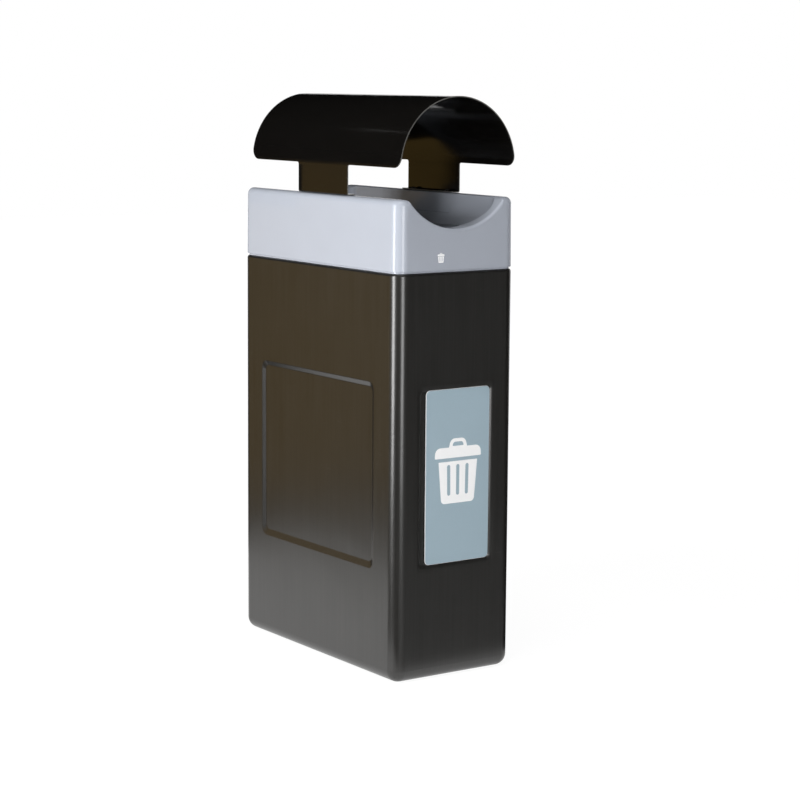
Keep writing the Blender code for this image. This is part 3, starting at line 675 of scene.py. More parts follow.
def linked(name: str, data: bpy.types.ID) -> bpy.types.Object:
    """Put a mesh, curve, lamp or camera in the scene.

    Args:
        name: the object's name.
        data: what it holds.

    Returns:
        The object.
    """
    obj = bpy.data.objects.new(name, data)
    bpy.context.scene.collection.objects.link(obj)
    return obj


def evaluated(obj: bpy.types.Object) -> BMesh:
    """Read an object's shape with its modifiers or its bevel.

    Args:
        obj: the object.

    Returns:
        The shape as a new bmesh, with its doubles merged.
    """
    bpy.context.view_layer.update()
    held = obj.evaluated_get(bpy.context.evaluated_depsgraph_get())
    result = bmesh.new()
    result.from_mesh(held.to_mesh())
    held.to_mesh_clear()
    bmesh.ops.remove_doubles(result, verts=result.verts, dist=MERGE)
    return result


def joined(parts: Sequence[BMesh]) -> BMesh:
    """Put several meshes into one.

    Args:
        parts: the meshes, which are freed.

    Returns:
        One bmesh that holds them all.
    """
    whole = bmesh.new()
    for part in parts:
        mesh = mesh_of(part)
        whole.from_mesh(mesh)
        bpy.data.meshes.remove(mesh)
    return whole


def carved(base: BMesh, cuts: Sequence[tuple[BMesh, str]]) -> BMesh:
    """Cut or join solids one after another.

    Args:
        base: the solid to start from, which is freed.
        cuts: each other solid, which is freed, with DIFFERENCE or UNION.

    Returns:
        The result as a new bmesh.
    """
    objects = [linked("solid", mesh_of(solid)) for solid in (base, *(cut for cut, _ in cuts))]
    for other, (_, operation) in zip(objects[1:], cuts):
        step = objects[0].modifiers.new(operation, "BOOLEAN")
        step.operation = operation
        step.solver = "EXACT"
        step.object = other
    result = evaluated(objects[0])
    for obj in objects:
        mesh = obj.data
        bpy.data.objects.remove(obj)
        bpy.data.meshes.remove(mesh)
    return result


def facing(x: float, y: float, z: float) -> Matrix:
    """Turn local Z to point out of a wall, with local Y up.

    Args:
        x: place on the wall along X; the wall faces away from the Z axis.
        y: place on the wall along Y.
        z: height on the wall.

    Returns:
        The place as a matrix.
    """
    outward = Vector((x, y, 0)).normalized()
    up = Vector((0, 0, 1))
    turn = Matrix((up.cross(outward), up, outward)).transposed().to_4x4()
    return Matrix.Translation((x, y, z)) @ turn


def finish_piece(
    name: str, bm: BMesh, materials: Sequence[Material], body: Body, slot: Slot, stands_for: Sequence[str] = (),
    edge: float = 0.0, sheet: float = 0.0,
) -> None:
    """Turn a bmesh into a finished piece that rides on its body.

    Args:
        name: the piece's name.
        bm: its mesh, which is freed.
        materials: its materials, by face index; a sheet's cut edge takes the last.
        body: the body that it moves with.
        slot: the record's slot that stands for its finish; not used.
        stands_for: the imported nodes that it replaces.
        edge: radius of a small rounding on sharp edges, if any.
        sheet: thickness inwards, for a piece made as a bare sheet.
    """
    mesh = mesh_of(bm, name)
    mesh.shade_smooth()
    for material in materials:
        mesh.materials.append(material)
    piece = linked(name, mesh)
    if sheet:
        solid = piece.modifiers.new("sheet", "SOLIDIFY")
        solid.thickness = sheet
        solid.offset = -1
        solid.use_even_offset = True
        solid.material_offset_rim = len(materials) - 1
    if edge:
        rounding = piece.modifiers.new("rounded edges", "BEVEL")
        rounding.width = edge
        rounding.segments = 3
        rounding.limit_method = "ANGLE"
        rounding.angle_limit = BEVEL_ANGLE
        rounding.use_clamp_overlap = True
        rounding.miter_outer = "MITER_ARC"
    else:
        mesh.set_sharp_from_angle(angle=SMOOTH_ANGLE)
    piece.modifiers.new("flat faces stay flat", "WEIGHTED_NORMAL").keep_sharp = True
    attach(piece, body.value)
    if stands_for:
        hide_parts(*stands_for)
    LOG.info("%s: %d faces, on %s", name, len(mesh.polygons), body.value)


# The can's own sizes, which its parts share

WIDTH = 0.31115
LENGTH = 0.6223
RIM = 1.0287
SEAM = 0.8752
SEAT = 0.0003
OUTLINE = Section(WIDTH / 2, LENGTH / 2, 0.0288, 0)


@dataclass(frozen=True)
class Recess:
    """One sunk panel: half sizes along the wall and up, height of its middle, corner radius and edge profile."""

    half: tuple[float, float]
    height: float
    corner: float
    edge: Profile


@dataclass
class BinBody:
    """The tall moulded body: a rounded foot, sunk panels on all four sides, a shoulder and a collar."""

    finishes: Finishes
    foot: float = 0.027
    shoulder: float = 0.006
    wall: float = 0.005
    collar_inset: float = 0.0105
    collar_wall: float = 0.005
    collar_rise: float = 0.012
    collar_round: float = 0.0015
    panel: tuple[float, float] = (0.459, 0.4065)
    panel_height: float = 0.43965
    panel_depth: float = 0.005
    panel_slope: float = 0.015
    panel_corner: float = 0.019
    panel_rounding: float = 0.002
    sign: tuple[float, float] = (0.218, 0.414)
    sign_height: float = 0.4385
    sign_depth: float = 0.0075
    sign_slope: float = 0.023
    sign_corner: float = 0.018
    sign_curve: float = 3.2
    recess_steps: int = 8

    def build(self) -> None:
        """Make the body as one closed shell, outside and inside."""
        top = SEAM - SEAT
        lip, under = top + self.collar_rise, top - self.wall
        inner_edge, inner_foot = self.collar_inset + self.collar_wall, self.foot - self.wall
        moved = OUTLINE.moved
        rows = [moved(self.foot * (1 - rise), self.foot * (1 - run)) for rise, run in quarter(9)]
        rows += [moved(self.shoulder * (1 - run), top - self.shoulder * (1 - rise)) for rise, run in quarter(6)]
        rows.append(moved(self.collar_inset, top))
        rows += [
            moved(self.collar_inset + self.collar_round * (1 - run), lip - self.collar_round * (1 - rise))
            for rise, run in quarter(4)
        ]
        rows += [moved(inner_edge, lip), moved(inner_edge, under), moved(self.wall, under - (inner_edge - self.wall))]
        rows += [
            moved(self.wall + inner_foot * (1 - rise), self.wall + inner_foot * (1 - run))
            for rise, run in reversed(quarter(7))
        ]
        shell = block(rows)
        panel = Recess(
            (self.panel[0] / 2, self.panel[1] / 2), self.panel_height, self.panel_corner, self.straight_edge()
        )
        sign = Recess((self.sign[0] / 2, self.sign[1] / 2), self.sign_height, self.sign_corner, self.soft_edge())
        walls = [(panel, -WIDTH / 2, 0.0), (panel, WIDTH / 2, 0.0), (sign, 0.0, -LENGTH / 2), (sign, 0.0, LENGTH / 2)]
        for grow in (0.0, self.wall):
            for recess, x, y in walls:
                self.sink(shell, recess, x, y, grow)
        bmesh.ops.remove_doubles(shell, verts=shell.verts, dist=MERGE)
        bmesh.ops.recalc_face_normals(shell, faces=shell.faces)
        finish_piece("body_moulding", shell, [self.finishes.body], Body.BIN, Slot.BODY, ["bin_body"])

    def straight_edge(self) -> Profile:
        """Give the side panels' edge: one flat slope with a short rounding at each end.

        Returns:
            How far each point is drawn in, and how deep it lies.
        """
        flat, run = self.panel_rounding, self.panel_slope - 2 * self.panel_rounding
        length = (run ** 2 + self.panel_depth ** 2) ** 0.5
        along, down = flat * run / length, flat * self.panel_depth / length
        half = []
        for share in (0, 0.25, 0.5, 0.75, 1):
            bend = 2 * share * (1 - share)
            half.append((bend * flat + share ** 2 * (flat + along), share ** 2 * down))
        return half + [(self.panel_slope - x, self.panel_depth - z) for x, z in reversed(half)]

    def soft_edge(self) -> Profile:
        """Give the sign recess's edge: a wide soft rounding that grows steep at the foot.

        Returns:
            How far each point is drawn in, and how deep it lies.
        """
        shares = [step / 10 for step in range(11)]
        return [(self.sign_slope * share, self.sign_depth * share ** self.sign_curve) for share in shares]

    def sink(self, bm: BMesh, recess: Recess, x: float, y: float, grow: float) -> None:
        """Sink a panel into one flat wall.

        Args:
            bm: the body's mesh.
            recess: the panel.
            x: the wall's X, or zero.
            y: the wall's Y, or zero.
            grow: wall thickness, for the panel's inner side.
        """
        outward = Vector((x, y, 0)).normalized()
        middle = Vector((x, y, recess.height)) - outward * grow
        wall = max(
            (face for face in bm.faces if abs(face.normal.dot(outward)) > 0.999
             and abs((face.verts[0].co - middle).dot(outward)) < MERGE * 10),
            key=lambda face: face.calc_area(),
        )
        border = list(wall.edges)
        bmesh.ops.delete(bm, geom=[wall], context="FACES_ONLY")
        half_x, half_y = recess.half
        rows = [
            Section(half_x - inward + grow, half_y - inward + grow, recess.corner - (inward - grow) / 2, -down)
            for inward, down in recess.edge
        ]
        ring = stack(bm, rows, self.recess_steps, facing(*middle), shut=False)
        bmesh.ops.triangle_fill(bm, edges=border + ring, use_beauty=True, use_dissolve=False)


@dataclass
class LidShell:
    """The moulded lid: a skirt, a scoop in each end wall, and a sloped funnel down to the throat."""

    finishes: Finishes
    wall: float = 0.0045
    taper: float = 0.0016
    top_round: float = 0.014
    foot_inset: float = 0.0045
    foot_wall: float = 0.0095
    foot_rise: float = 0.008
    edge: float = 0.0012
    seam_gap: float = 0.0040
    mouth_round: float = 0.003
    trough: Section = Section(0.125, 0.286, 0.026, 0)
    trough_depth: float = 0.044
    slope_drop: float = 0.022
    crease_rise: float = 0.016
    crease_share: float = 0.42
    crease_steps: int = 10
    ledge: float = 0.224
    ledge_round: float = 0.0008
    throat: Section = Section(0.091, 0.268, 0.088, 0)
    lip: float = 0.014
    scoop_half: float = 0.133675
    scoop_depth: float = 0.0632
    scoop_shoulder: float = 0.020
    scoop_flare: float = 0.006
    scoop_above: float = 0.02

    def outline(self, inset: float, height: float) -> Section:
        """Give the lid's outline at a height, drawn in by its taper and an inset."""
        return OUTLINE.moved(inset + self.taper * max(height - SEAM, 0) / (RIM - SEAM), height)

    def funnel(self, grow: float) -> list[Section]:
        """Give the mouth from the rim down: upright walls, a curved crease, a slope and the throat.

        Args:
            grow: how far all its faces are moved outwards.

        Returns:
            The sections from the upright walls' foot to the throat.
        """
        crease = RIM - self.trough_depth
        drop = self.slope_drop * self.crease_share
        rows = []
        for step in range(self.crease_steps + 1):
            share = step / self.crease_steps
            height = crease + self.crease_rise * (1 - share) ** 2 - drop * share ** 2
            rows.append(self.between(self.crease_share * share ** 2, height, grow))
        return [*rows, self.between(1, crease - self.slope_drop, grow)]

    def between(self, share: float, height: float, grow: float) -> Section:
        """Give a section part of the way from the trough's outline to the throat's.

        Args:
            share: 0 for the trough's outline and 1 for the throat's.
            height: the section's height.
            grow: how far its faces are moved outwards.

        Returns:
            The section.
        """
        a, b = self.trough, self.throat
        return Section(
            a.half_x + (b.half_x - a.half_x) * share + grow,
            a.half_y + (b.half_y - a.half_y) * share + grow,
            a.radius + (b.radius - a.radius) * share + grow,
            height - grow,
        )

    def scoop(self, grow: float, flare: float) -> BMesh:
        """Make the scoop as a channel along the lid, flared by a radius where it leaves the end walls.

        Args:
            grow: how far its faces are moved outwards.
            flare: radius of the rounded lip at each end wall.

        Returns:
            The channel as a closed solid.
        """
        reach = (self.scoop_half ** 2 / self.scoop_depth + self.scoop_depth) / 2
        radius = reach - self.scoop_shoulder
        middle = RIM - self.scoop_depth + radius
        low = RIM - self.scoop_shoulder
        lean = acos((middle - low) / reach)

        def ring(y: float, out: float) -> list[Point]:
            """Give the channel's outline across X.

            Args:
                y: its place along Y.
                out: how far it is moved outwards.

            Returns:
                Its points, from one side to the other.
            """
            big, small = radius + grow + out, self.scoop_shoulder - grow - out
            turns = [lean * step / 30 for step in range(31)]
            half = [(big * sin(turn), middle - big * cos(turn)) for turn in turns]
            turns = [lean * (1 - step / 10) for step in range(1, 11)]
            half += [(self.scoop_half - small * sin(turn), low + small * cos(turn)) for turn in turns]
            half.append((self.scoop_half, RIM + self.scoop_above))
            return [(-x, y, z) for x, z in reversed(half[1:])] + [(x, y, z) for x, z in half]

        end = LENGTH / 2 - self.taper
        places = [(-end - OVERCUT, flare)]
        places += [(-end + flare * (1 - run), flare * (1 - rise)) for rise, run in quarter(8)] if flare else []
        places += [(-y, out) for y, out in reversed(places)]
        bm = bmesh.new()
        swept(bm, [ring(y, out) for y, out in places])
        bmesh.ops.recalc_face_normals(bm, faces=bm.faces)
        return bm

    def build(self) -> None:
        """Mould the lid: the outer form, less its hollow, funnel and scoops."""
        foot = SEAM + self.seam_gap
        outline, cut = self.outline, "DIFFERENCE"
        rows = [outline(self.foot_inset, SEAM), outline(self.foot_inset, foot)]
        rows += [outline(self.edge * (1 - rise), foot + self.edge * (1 - run)) for rise, run in quarter(5)]
        rows += [outline(self.top_round * (1 - run), RIM - self.top_round * (1 - rise)) for rise, run in quarter(8)]

        ceiling, ledge = RIM - self.wall, SEAM + self.foot_rise
        inner_round = self.top_round - self.wall
        hollow = block([
            outline(self.foot_wall, SEAM - OVERCUT),
            outline(self.foot_wall, ledge),
            outline(self.wall, ledge + self.foot_wall - self.wall),
            outline(self.wall, ceiling - inner_round),
            outline(self.wall + inner_round / 3, ceiling - inner_round / 3),
            outline(self.top_round, ceiling),
        ])
        bottom = RIM - self.trough_depth - self.slope_drop - self.lip
        skin = self.funnel(self.wall)
        skin = [skin[0].moved(0, RIM + OVERCUT), *skin, skin[-1].moved(0, bottom)]
        hollow = carved(hollow, [(block(skin), cut), (self.scoop(self.wall, 0), cut)])

        mouth = self.funnel(0)
        edge = [
            mouth[0].moved(-self.mouth_round * (1 - rise), RIM - self.mouth_round * (1 - run))
            for rise, run in quarter(5)
        ]
        mouth = [edge[0].moved(0, RIM + OVERCUT), *edge, *mouth, mouth[-1].moved(0, bottom - OVERCUT)]
        depth = self.trough_depth / 2
        shelf = rounded_box(
            Vector((2 * self.trough.half_x, self.ledge, depth)),
            Vector((0, 0, RIM - self.trough_depth + depth / 2)), self.ledge_round,
        )
        scoop = self.scoop(0, self.scoop_flare)
        lid = carved(block(rows), [(hollow, cut), (block(mouth), cut), (scoop, cut), (shelf, cut)])
        finish_piece("lid_moulding", lid, [self.finishes.lid], Body.LID, Slot.LID, ["lid_shell"])


@dataclass
class Hood:
    """The rain hood: one sheet, cut flat, then rolled into a half circle and folded to two flanges."""

    finishes: Finishes
    radius: float = 0.1485
    sheet: float = 0.0025
    front: float = -0.3109
    rear: float = 0.2781
    edge_height: float = 1.0942
    corner: float = 0.025
    tab: float = 0.195
    tab_middle: float = -0.015
    fillet: float = 0.005
    flange: float = 0.019
    bend: float = 0.004
    top: float = RIM + 0.21336
    strips: int = 36
    bend_strips: int = 6
    edge_round: float = 0.0005
    bolt_shank: float = 0.003
    bolt_tip: float = 0.0006

    @property
    def spring(self) -> float:
        """Height at which the half circle starts."""
        return self.top - self.radius

    @property
    def lengths(self) -> tuple[float, float, float, float, float]:
        """Measure the sheet from its crown outwards.

        Returns:
            The distances to the arc's end, to its edge, to the bend's two ends and to the tip.
        """
        arc = self.radius * pi / 2
        start = arc + self.spring - (RIM + SEAT) - self.bend
        end = start + self.bend * pi / 2
        return arc, arc - (self.edge_height - self.spring), start, end, end + self.sheet + self.flange - self.bend

    def folded(self, along: float, y: float) -> Vector:
        """Find where a point of the flat sheet goes when it is bent.

        Args:
            along: distance from the crown, across the sheet.
            y: place along the hood.

        Returns:
            The point on the hood's outer face.
        """
        side, reach = 1 if along >= 0 else -1, abs(along)
        arc, _, start, end, _ = self.lengths
        if reach <= arc:
            angle = reach / self.radius
            return Vector((side * self.radius * sin(angle), y, self.spring + self.radius * cos(angle)))
        if reach <= start:
            return Vector((side * self.radius, y, self.spring - (reach - arc)))
        angle = min((reach - start) / self.bend, pi / 2)
        x = self.radius - self.bend * (1 - cos(angle)) - max(reach - end, 0)
        return Vector((side * x, y, RIM + SEAT + self.bend * (1 - sin(angle))))

    def blank(self) -> BMesh:
        """Cut the flat sheet, with its tabs and rounded corners.

        Returns:
            The flat sheet, with X across it and Y along the hood.
        """
        _, edge, _, _, tip = self.lengths
        near, far = self.tab_middle - self.tab / 2, self.tab_middle + self.tab / 2
        right = [(edge, self.front), (edge, near), (tip, near), (tip, far), (edge, far), (edge, self.rear)]
        bm = bmesh.new()
        verts = [bm.verts.new((x, y, 0)) for x, y in right + [(-x, y) for x, y in reversed(right)]]
        bm.faces.new(verts)
        for radius, corners in (
            (self.corner, (0, 5, 6, 11)), (self.fillet, (1, 4, 7, 10)), (self.fillet, (2, 3, 8, 9)),
        ):
            soften(bm, [verts[index] for index in corners], radius, 10)
        return bm

    def build(self) -> None:
        """Crease the flat sheet into narrow strips and bend it."""
        bm = self.blank()
        arc, _, start, end, _ = self.lengths
        lines = [arc * step / self.strips for step in range(self.strips + 1)]
        lines += [start + (end - start) * step / self.bend_strips for step in range(self.bend_strips + 1)]
        for line in sorted({side * value for value in lines for side in (-1, 1)}):
            bmesh.ops.bisect_plane(
                bm, geom=list(bm.verts) + list(bm.edges) + list(bm.faces), dist=MERGE,
                plane_co=(line, 0, 0), plane_no=(1, 0, 0),
            )
        for vert in bm.verts:
            vert.co = self.folded(vert.co.x, vert.co.y)
        bm.normal_update()
        crown = max(bm.faces, key=lambda face: face.calc_center_median().z)
        if crown.normal.z < 0:
            bmesh.ops.reverse_faces(bm, faces=bm.faces)
        # The cut edge takes the grey edge finish, a thin coat painted light as a highlight
        finish_piece(
            "hood_sheet", bm, [self.finishes.hood, self.finishes.hood_edge_and_highlight], Body.LID, Slot.HOOD, ["hood"],
            edge=self.edge_round, sheet=self.sheet,
        )
        for number in range(1, 5):
            self.bolt(number)

    def bolt(self, number: int) -> None:
        """Add one domed bolt through a flange.

        Args:
            number: the bolt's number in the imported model.
        """
        low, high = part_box(f"hood_bolt_{number}")
        radius, shank = (high.x - low.x) / 2, self.bolt_shank
        head = high.z - (RIM + 2 * SEAT + self.sheet)
        face = high.z - head
        profile = [(radius * rise, face + head * (0.2 + 0.8 * run)) for rise, run in quarter(8)]
        profile += [(radius * 0.97, face), (shank, face)]
        profile += [(shank, low.z + self.bolt_tip), (shank * 0.8, low.z), (0, low.z)]
        bolt = turned(profile, Matrix.Translation(((low.x + high.x) / 2, (low.y + high.y) / 2, 0)), 40)
        finish_piece(
            f"flange_bolt_{number}", bolt, [self.finishes.black], Body.LID, Slot.BLACK, [f"hood_bolt_{number}"]
        )


@dataclass
class FrontSign:
    """The sign plate in the front recess, with a plain pictogram of a waste bin on it."""

    finishes: Finishes
    corner: float = 0.0105
    face_edge: float = 0.0018
    back_edge: float = 0.0006
    film: float = 0.00018
    film_gap: float = 0.00002
    icon_middle: float = 0.0078
    icon_foot: float = 0.379
    icon_height: float = 0.1402
    mark_middle: float = -0.0437
    mark_foot: float = 0.8955
    mark_height: float = 0.0205
    # X, Y and radius of each corner in hundredths of the pictogram's height; a shape's first outline is its outside
    shapes: list[list[list[Point]]] = field(default_factory=lambda: [
        # The lid
        [[(-43.5, 70.3, 2), (43.5, 70.3, 2), (42.5, 86.7, 9), (-42.5, 86.7, 9)]],
        # The handle, open in the middle
        [[(-17, 86.7, 0.1), (17, 86.7, 0.1), (13.4, 100, 7), (-13.4, 100, 7)],
         [(-10.4, 88.3, 1), (10.4, 88.3, 1), (8.8, 94.6, 3), (-8.8, 94.6, 3)]],
        # The tub and its slots
        [[(-30.7, 0, 6), (30.7, 0, 6), (36.4, 64.9, 0.3), (-36.4, 64.9, 0.3)],
         [(-19.6, 12.3, 2.8), (-13.7, 12.3, 2.8), (-14.4, 59.8, 2.8), (-20.3, 59.8, 2.8)],
         [(-2.95, 12.3, 2.8), (2.95, 12.3, 2.8), (2.95, 59.8, 2.8), (-2.95, 59.8, 2.8)],
         [(13.7, 12.3, 2.8), (19.6, 12.3, 2.8), (20.3, 59.8, 2.8), (14.4, 59.8, 2.8)]],
    ])

    def build(self) -> None:
        """Make the plate, its pictogram and the small one on the lid."""
        low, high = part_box("front_sign_plate")
        middle, half, thick = (low + high) / 2, (high - low) / 2, high.y - low.y
        edge, back = self.face_edge, self.back_edge
        outline = Section(half.x, half.z, self.corner, 0)
        rows = [outline.moved(back, 0), outline.moved(0, back), outline.moved(0, thick - edge)]
        rows += [outline.moved(edge * (1 - run), thick - edge * (1 - rise)) for rise, run in quarter(3)[1:]]
        plate = block(rows, 10, facing(0, high.y, middle.z) @ Matrix.Translation((middle.x, 0, 0)))
        for face in plate.faces:
            face.material_index = 0 if face.normal.y < -0.9 else 1
        faces = [self.finishes.sign, self.finishes.core]
        finish_piece("sign_plate", plate, faces, Body.BIN, Slot.SIGN, ["front_sign_plate"])
        spot = facing(0, low.y, self.icon_foot) @ Matrix.Translation((self.icon_middle, 0, 0))
        self.pictogram("sign_pictogram", self.icon_height, spot, Body.BIN, Slot.SIGN)

        lean = Matrix.Rotation(-LidShell.taper / (RIM - SEAM), 4, "X")
        inset = LidShell.taper * (self.mark_foot - SEAM) / (RIM - SEAM)
        spot = facing(0, -LENGTH / 2 + inset, self.mark_foot) @ Matrix.Translation((self.mark_middle, 0, 0)) @ lean
        self.pictogram("lid_pictogram", self.mark_height, spot, Body.LID, Slot.LID)

    def outlined(self, bm: BMesh, corners: Sequence[Point]) -> list[bmesh.types.BMEdge]:
        """Draw one flat outline with rounded corners.

        Args:
            bm: the mesh that gets it.
            corners: X, Y and radius of each corner.

        Returns:
            The outline's edges.
        """
        verts = [bm.verts.new((x, y, 0)) for x, y, _ in corners]
        face = bm.faces.new(verts)
        for vert, (_, _, radius) in zip(verts, corners):
            before = set(bm.verts)
            soften(bm, [vert], radius, 6)
            face = next(iter((set(bm.verts) - before) or {vert})).link_faces[0]
        edges = list(face.edges)
        bmesh.ops.delete(bm, geom=[face], context="FACES_ONLY")
        return edges

    def pictogram(self, name: str, height: float, place: Matrix, body: Body, slot: Slot) -> None:
        """Cut a generic waste bin from thin white film: lid, handle and a tapered tub with three slots.

        Args:
            name: the piece's name.
            height: the pictogram's height.
            place: its foot, with local Y up and local Z out of the surface.
            body: the body that it moves with.
            slot: the record's slot of the surface under it.
        """
        bm = bmesh.new()
        for outlines in self.shapes:
            edges = [edge for corners in outlines for edge in self.outlined(bm, corners)]
            bmesh.ops.triangle_fill(bm, edges=edges, use_beauty=True, use_dissolve=False)
        bmesh.ops.transform(bm, matrix=Matrix.Scale(height / 100, 4), verts=bm.verts)
        for face in bm.faces:
            if face.normal.z < 0:
                face.normal_flip()
        bmesh.ops.dissolve_limit(
            bm, angle_limit=radians(1), verts=bm.verts, edges=bm.edges, use_dissolve_boundaries=False
        )
        raised = bmesh.ops.extrude_face_region(bm, geom=list(bm.faces), use_keep_orig=True)["geom"]
        top = [item for item in raised if isinstance(item, bmesh.types.BMVert)]
        bmesh.ops.translate(bm, verts=top, vec=(0, 0, self.film))
        bmesh.ops.transform(bm, matrix=place @ Matrix.Translation((0, 0, self.film_gap)), verts=bm.verts)
        bmesh.ops.recalc_face_normals(bm, faces=bm.faces)
        finish_piece(name, bm, [self.finishes.vinyl], body, slot)


@dataclass
class RearHinges:
    """Two butt hinges with rolled knuckles, headed pins and blind rivets."""

    finishes: Finishes
    knuckle: float = 0.0045
    knuckle_gap: float = 0.0007
    sheet: float = 0.002
    leaf_corner: float = 0.004
    leaf_edge: float = 0.0003
    leaf_play: float = 0.0036
    fold_lap: float = 0.001
    fold_depth: float = 0.004
    knuckle_split: float = 0.001
    knuckle_play: float = 0.0004
    pin: float = 0.0022
    pin_head: float = 0.0015
    rivet_dome: float = 0.0016
    rivet_shank: float = 0.0024
    rivet_tail: float = 0.003
    tail_ends: tuple[float, float] = (0.0040, 0.0036)
    dimple: float = 0.0011
    dimple_depth: float = 0.0008
    dimple_slope: float = 0.0002

    def build(self) -> None:
        """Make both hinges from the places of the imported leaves."""
        for side in ("left", "right"):
            for part, body in (("body", Body.BIN), ("lid", Body.LID)):
                self.leaf(side, part, body)
                for end in ("a", "b"):
                    self.rivet(f"{part}_rivet_{side}_{end}", body)
            self.pin_of(side)

    def fit(self, name: str, bm: BMesh, body: Body, node: str) -> None:
        """Finish one zinc-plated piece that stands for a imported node."""
        finish_piece(name, bm, [self.finishes.zinc], body, Slot.ZINC, [node])

    def leaf(self, side: str, part: str, body: Body) -> None:
        """Make one leaf: a plate with rounded corners, and the knuckles rolled from it.

        Args:
            side: left or right.
            part: body or lid.
            body: the body that it moves with.
        """
        node = f"{part}_hinge_leaf_{side}"
        low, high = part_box(node)
        pin_low, pin_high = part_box(f"hinge_pin_{side}")
        axis = (pin_low + pin_high) / 2
        neck = self.knuckle + self.knuckle_gap
        down = part == "body"
        if down:
            wide, foot, top = high.x - low.x, low.z, axis.z - neck
            fold, past = top, axis.z - self.fold_lap
        else:
            wide, foot, top = pin_high.x - pin_low.x - self.leaf_play, axis.z + neck, high.z
            fold, past = foot, axis.z + self.fold_lap
        outline, edge = Section(wide / 2, (top - foot) / 2, self.leaf_corner, 0), self.leaf_edge
        rows = [outline.moved(edge, 0), outline.moved(0, edge), outline.moved(0, self.sheet - edge)]
        place = facing(0, low.y, (foot + top) / 2) @ Matrix.Translation((-axis.x, 0, 0))
        parts = [block([*rows, outline.moved(edge, self.sheet)], 6, place)]
        third = (wide - self.knuckle_split) / 3
        length, reach = third - self.knuckle_play, third + self.knuckle_split / 2
        for offset in (-reach, reach) if down else (0,):
            x = axis.x + offset
            parts.append(rounded_box(
                Vector((length, self.sheet, neck + self.fold_depth)),
                Vector((x, low.y + self.sheet / 2, (fold + past) / 2)), edge, 1,
            ))
            parts.append(self.barrel(Vector((x, axis.y, axis.z)), length))
        self.fit(f"{part}_leaf_{side}", joined(parts), body, node)

    def barrel(self, centre: Vector, length: float) -> BMesh:
        """Roll one knuckle round the hinge's axis.

        Args:
            centre: its middle.
            length: its length.

        Returns:
            The knuckle, open along its middle for the pin.
        """
        half, edge, bore = length / 2, self.leaf_edge, self.pin + SEAT
        profile = [
            (bore, half), (self.knuckle - edge, half), (self.knuckle, half - edge), (self.knuckle, edge - half),
            (self.knuckle - edge, -half), (bore, -half), (bore, half),
        ]
        return turned(profile, Matrix.Translation(centre) @ Matrix.Rotation(pi / 2, 4, "Y"), 36)

    def pin_of(self, side: str) -> None:
        """Make one headed pin.

        Args:
            side: left or right.
        """
        node = f"hinge_pin_{side}"
        low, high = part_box(node)
        half, radius = (high.x - low.x) / 2, (high.z - low.z) / 2
        cap = [(radius * rise, half - self.pin_head * 0.8 * (1 - run)) for rise, run in quarter(6)]
        neck = half - self.pin_head
        profile = [*cap, (radius, neck), (self.pin, neck), (self.pin, -neck), (radius, -neck)]
        profile += [(out, -height) for out, height in reversed(cap)]
        place = Matrix.Translation((low + high) / 2) @ Matrix.Rotation(pi / 2, 4, "Y")
        self.fit(f"pin_{side}", turned(profile, place, 32), Body.BIN, node)

    def rivet(self, node: str, body: Body) -> None:
        """Make one blind rivet: a low dome with the broken stem's dimple, a shank and a spread tail.

        Args:
            node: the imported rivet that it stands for.
            body: the body that it moves with.
        """
        low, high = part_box(node)
        radius, out = (high.x - low.x) / 2, high.y
        face, shank, tail = out - self.rivet_dome, self.rivet_shank, low.y + self.rivet_tail
        pit, slope = out - self.dimple_depth, self.dimple_slope
        head = [(0, pit), (self.dimple, pit), (self.dimple + slope, out - slope / 2)]
        head += [(radius * rise, face + self.rivet_dome * run) for rise, run in quarter(6)[2:]]
        near_tail, far_tail = self.tail_ends
        profile = [*head, (shank, face), (shank, tail), (near_tail, tail), (far_tail, low.y), (0, low.y)]
        place = Matrix.Translation(((low.x + high.x) / 2, 0, (low.z + high.z) / 2)) @ Matrix.Rotation(-pi / 2, 4, "X")
        self.fit(f"blind_{node}", turned(profile, place, 28), body, node)


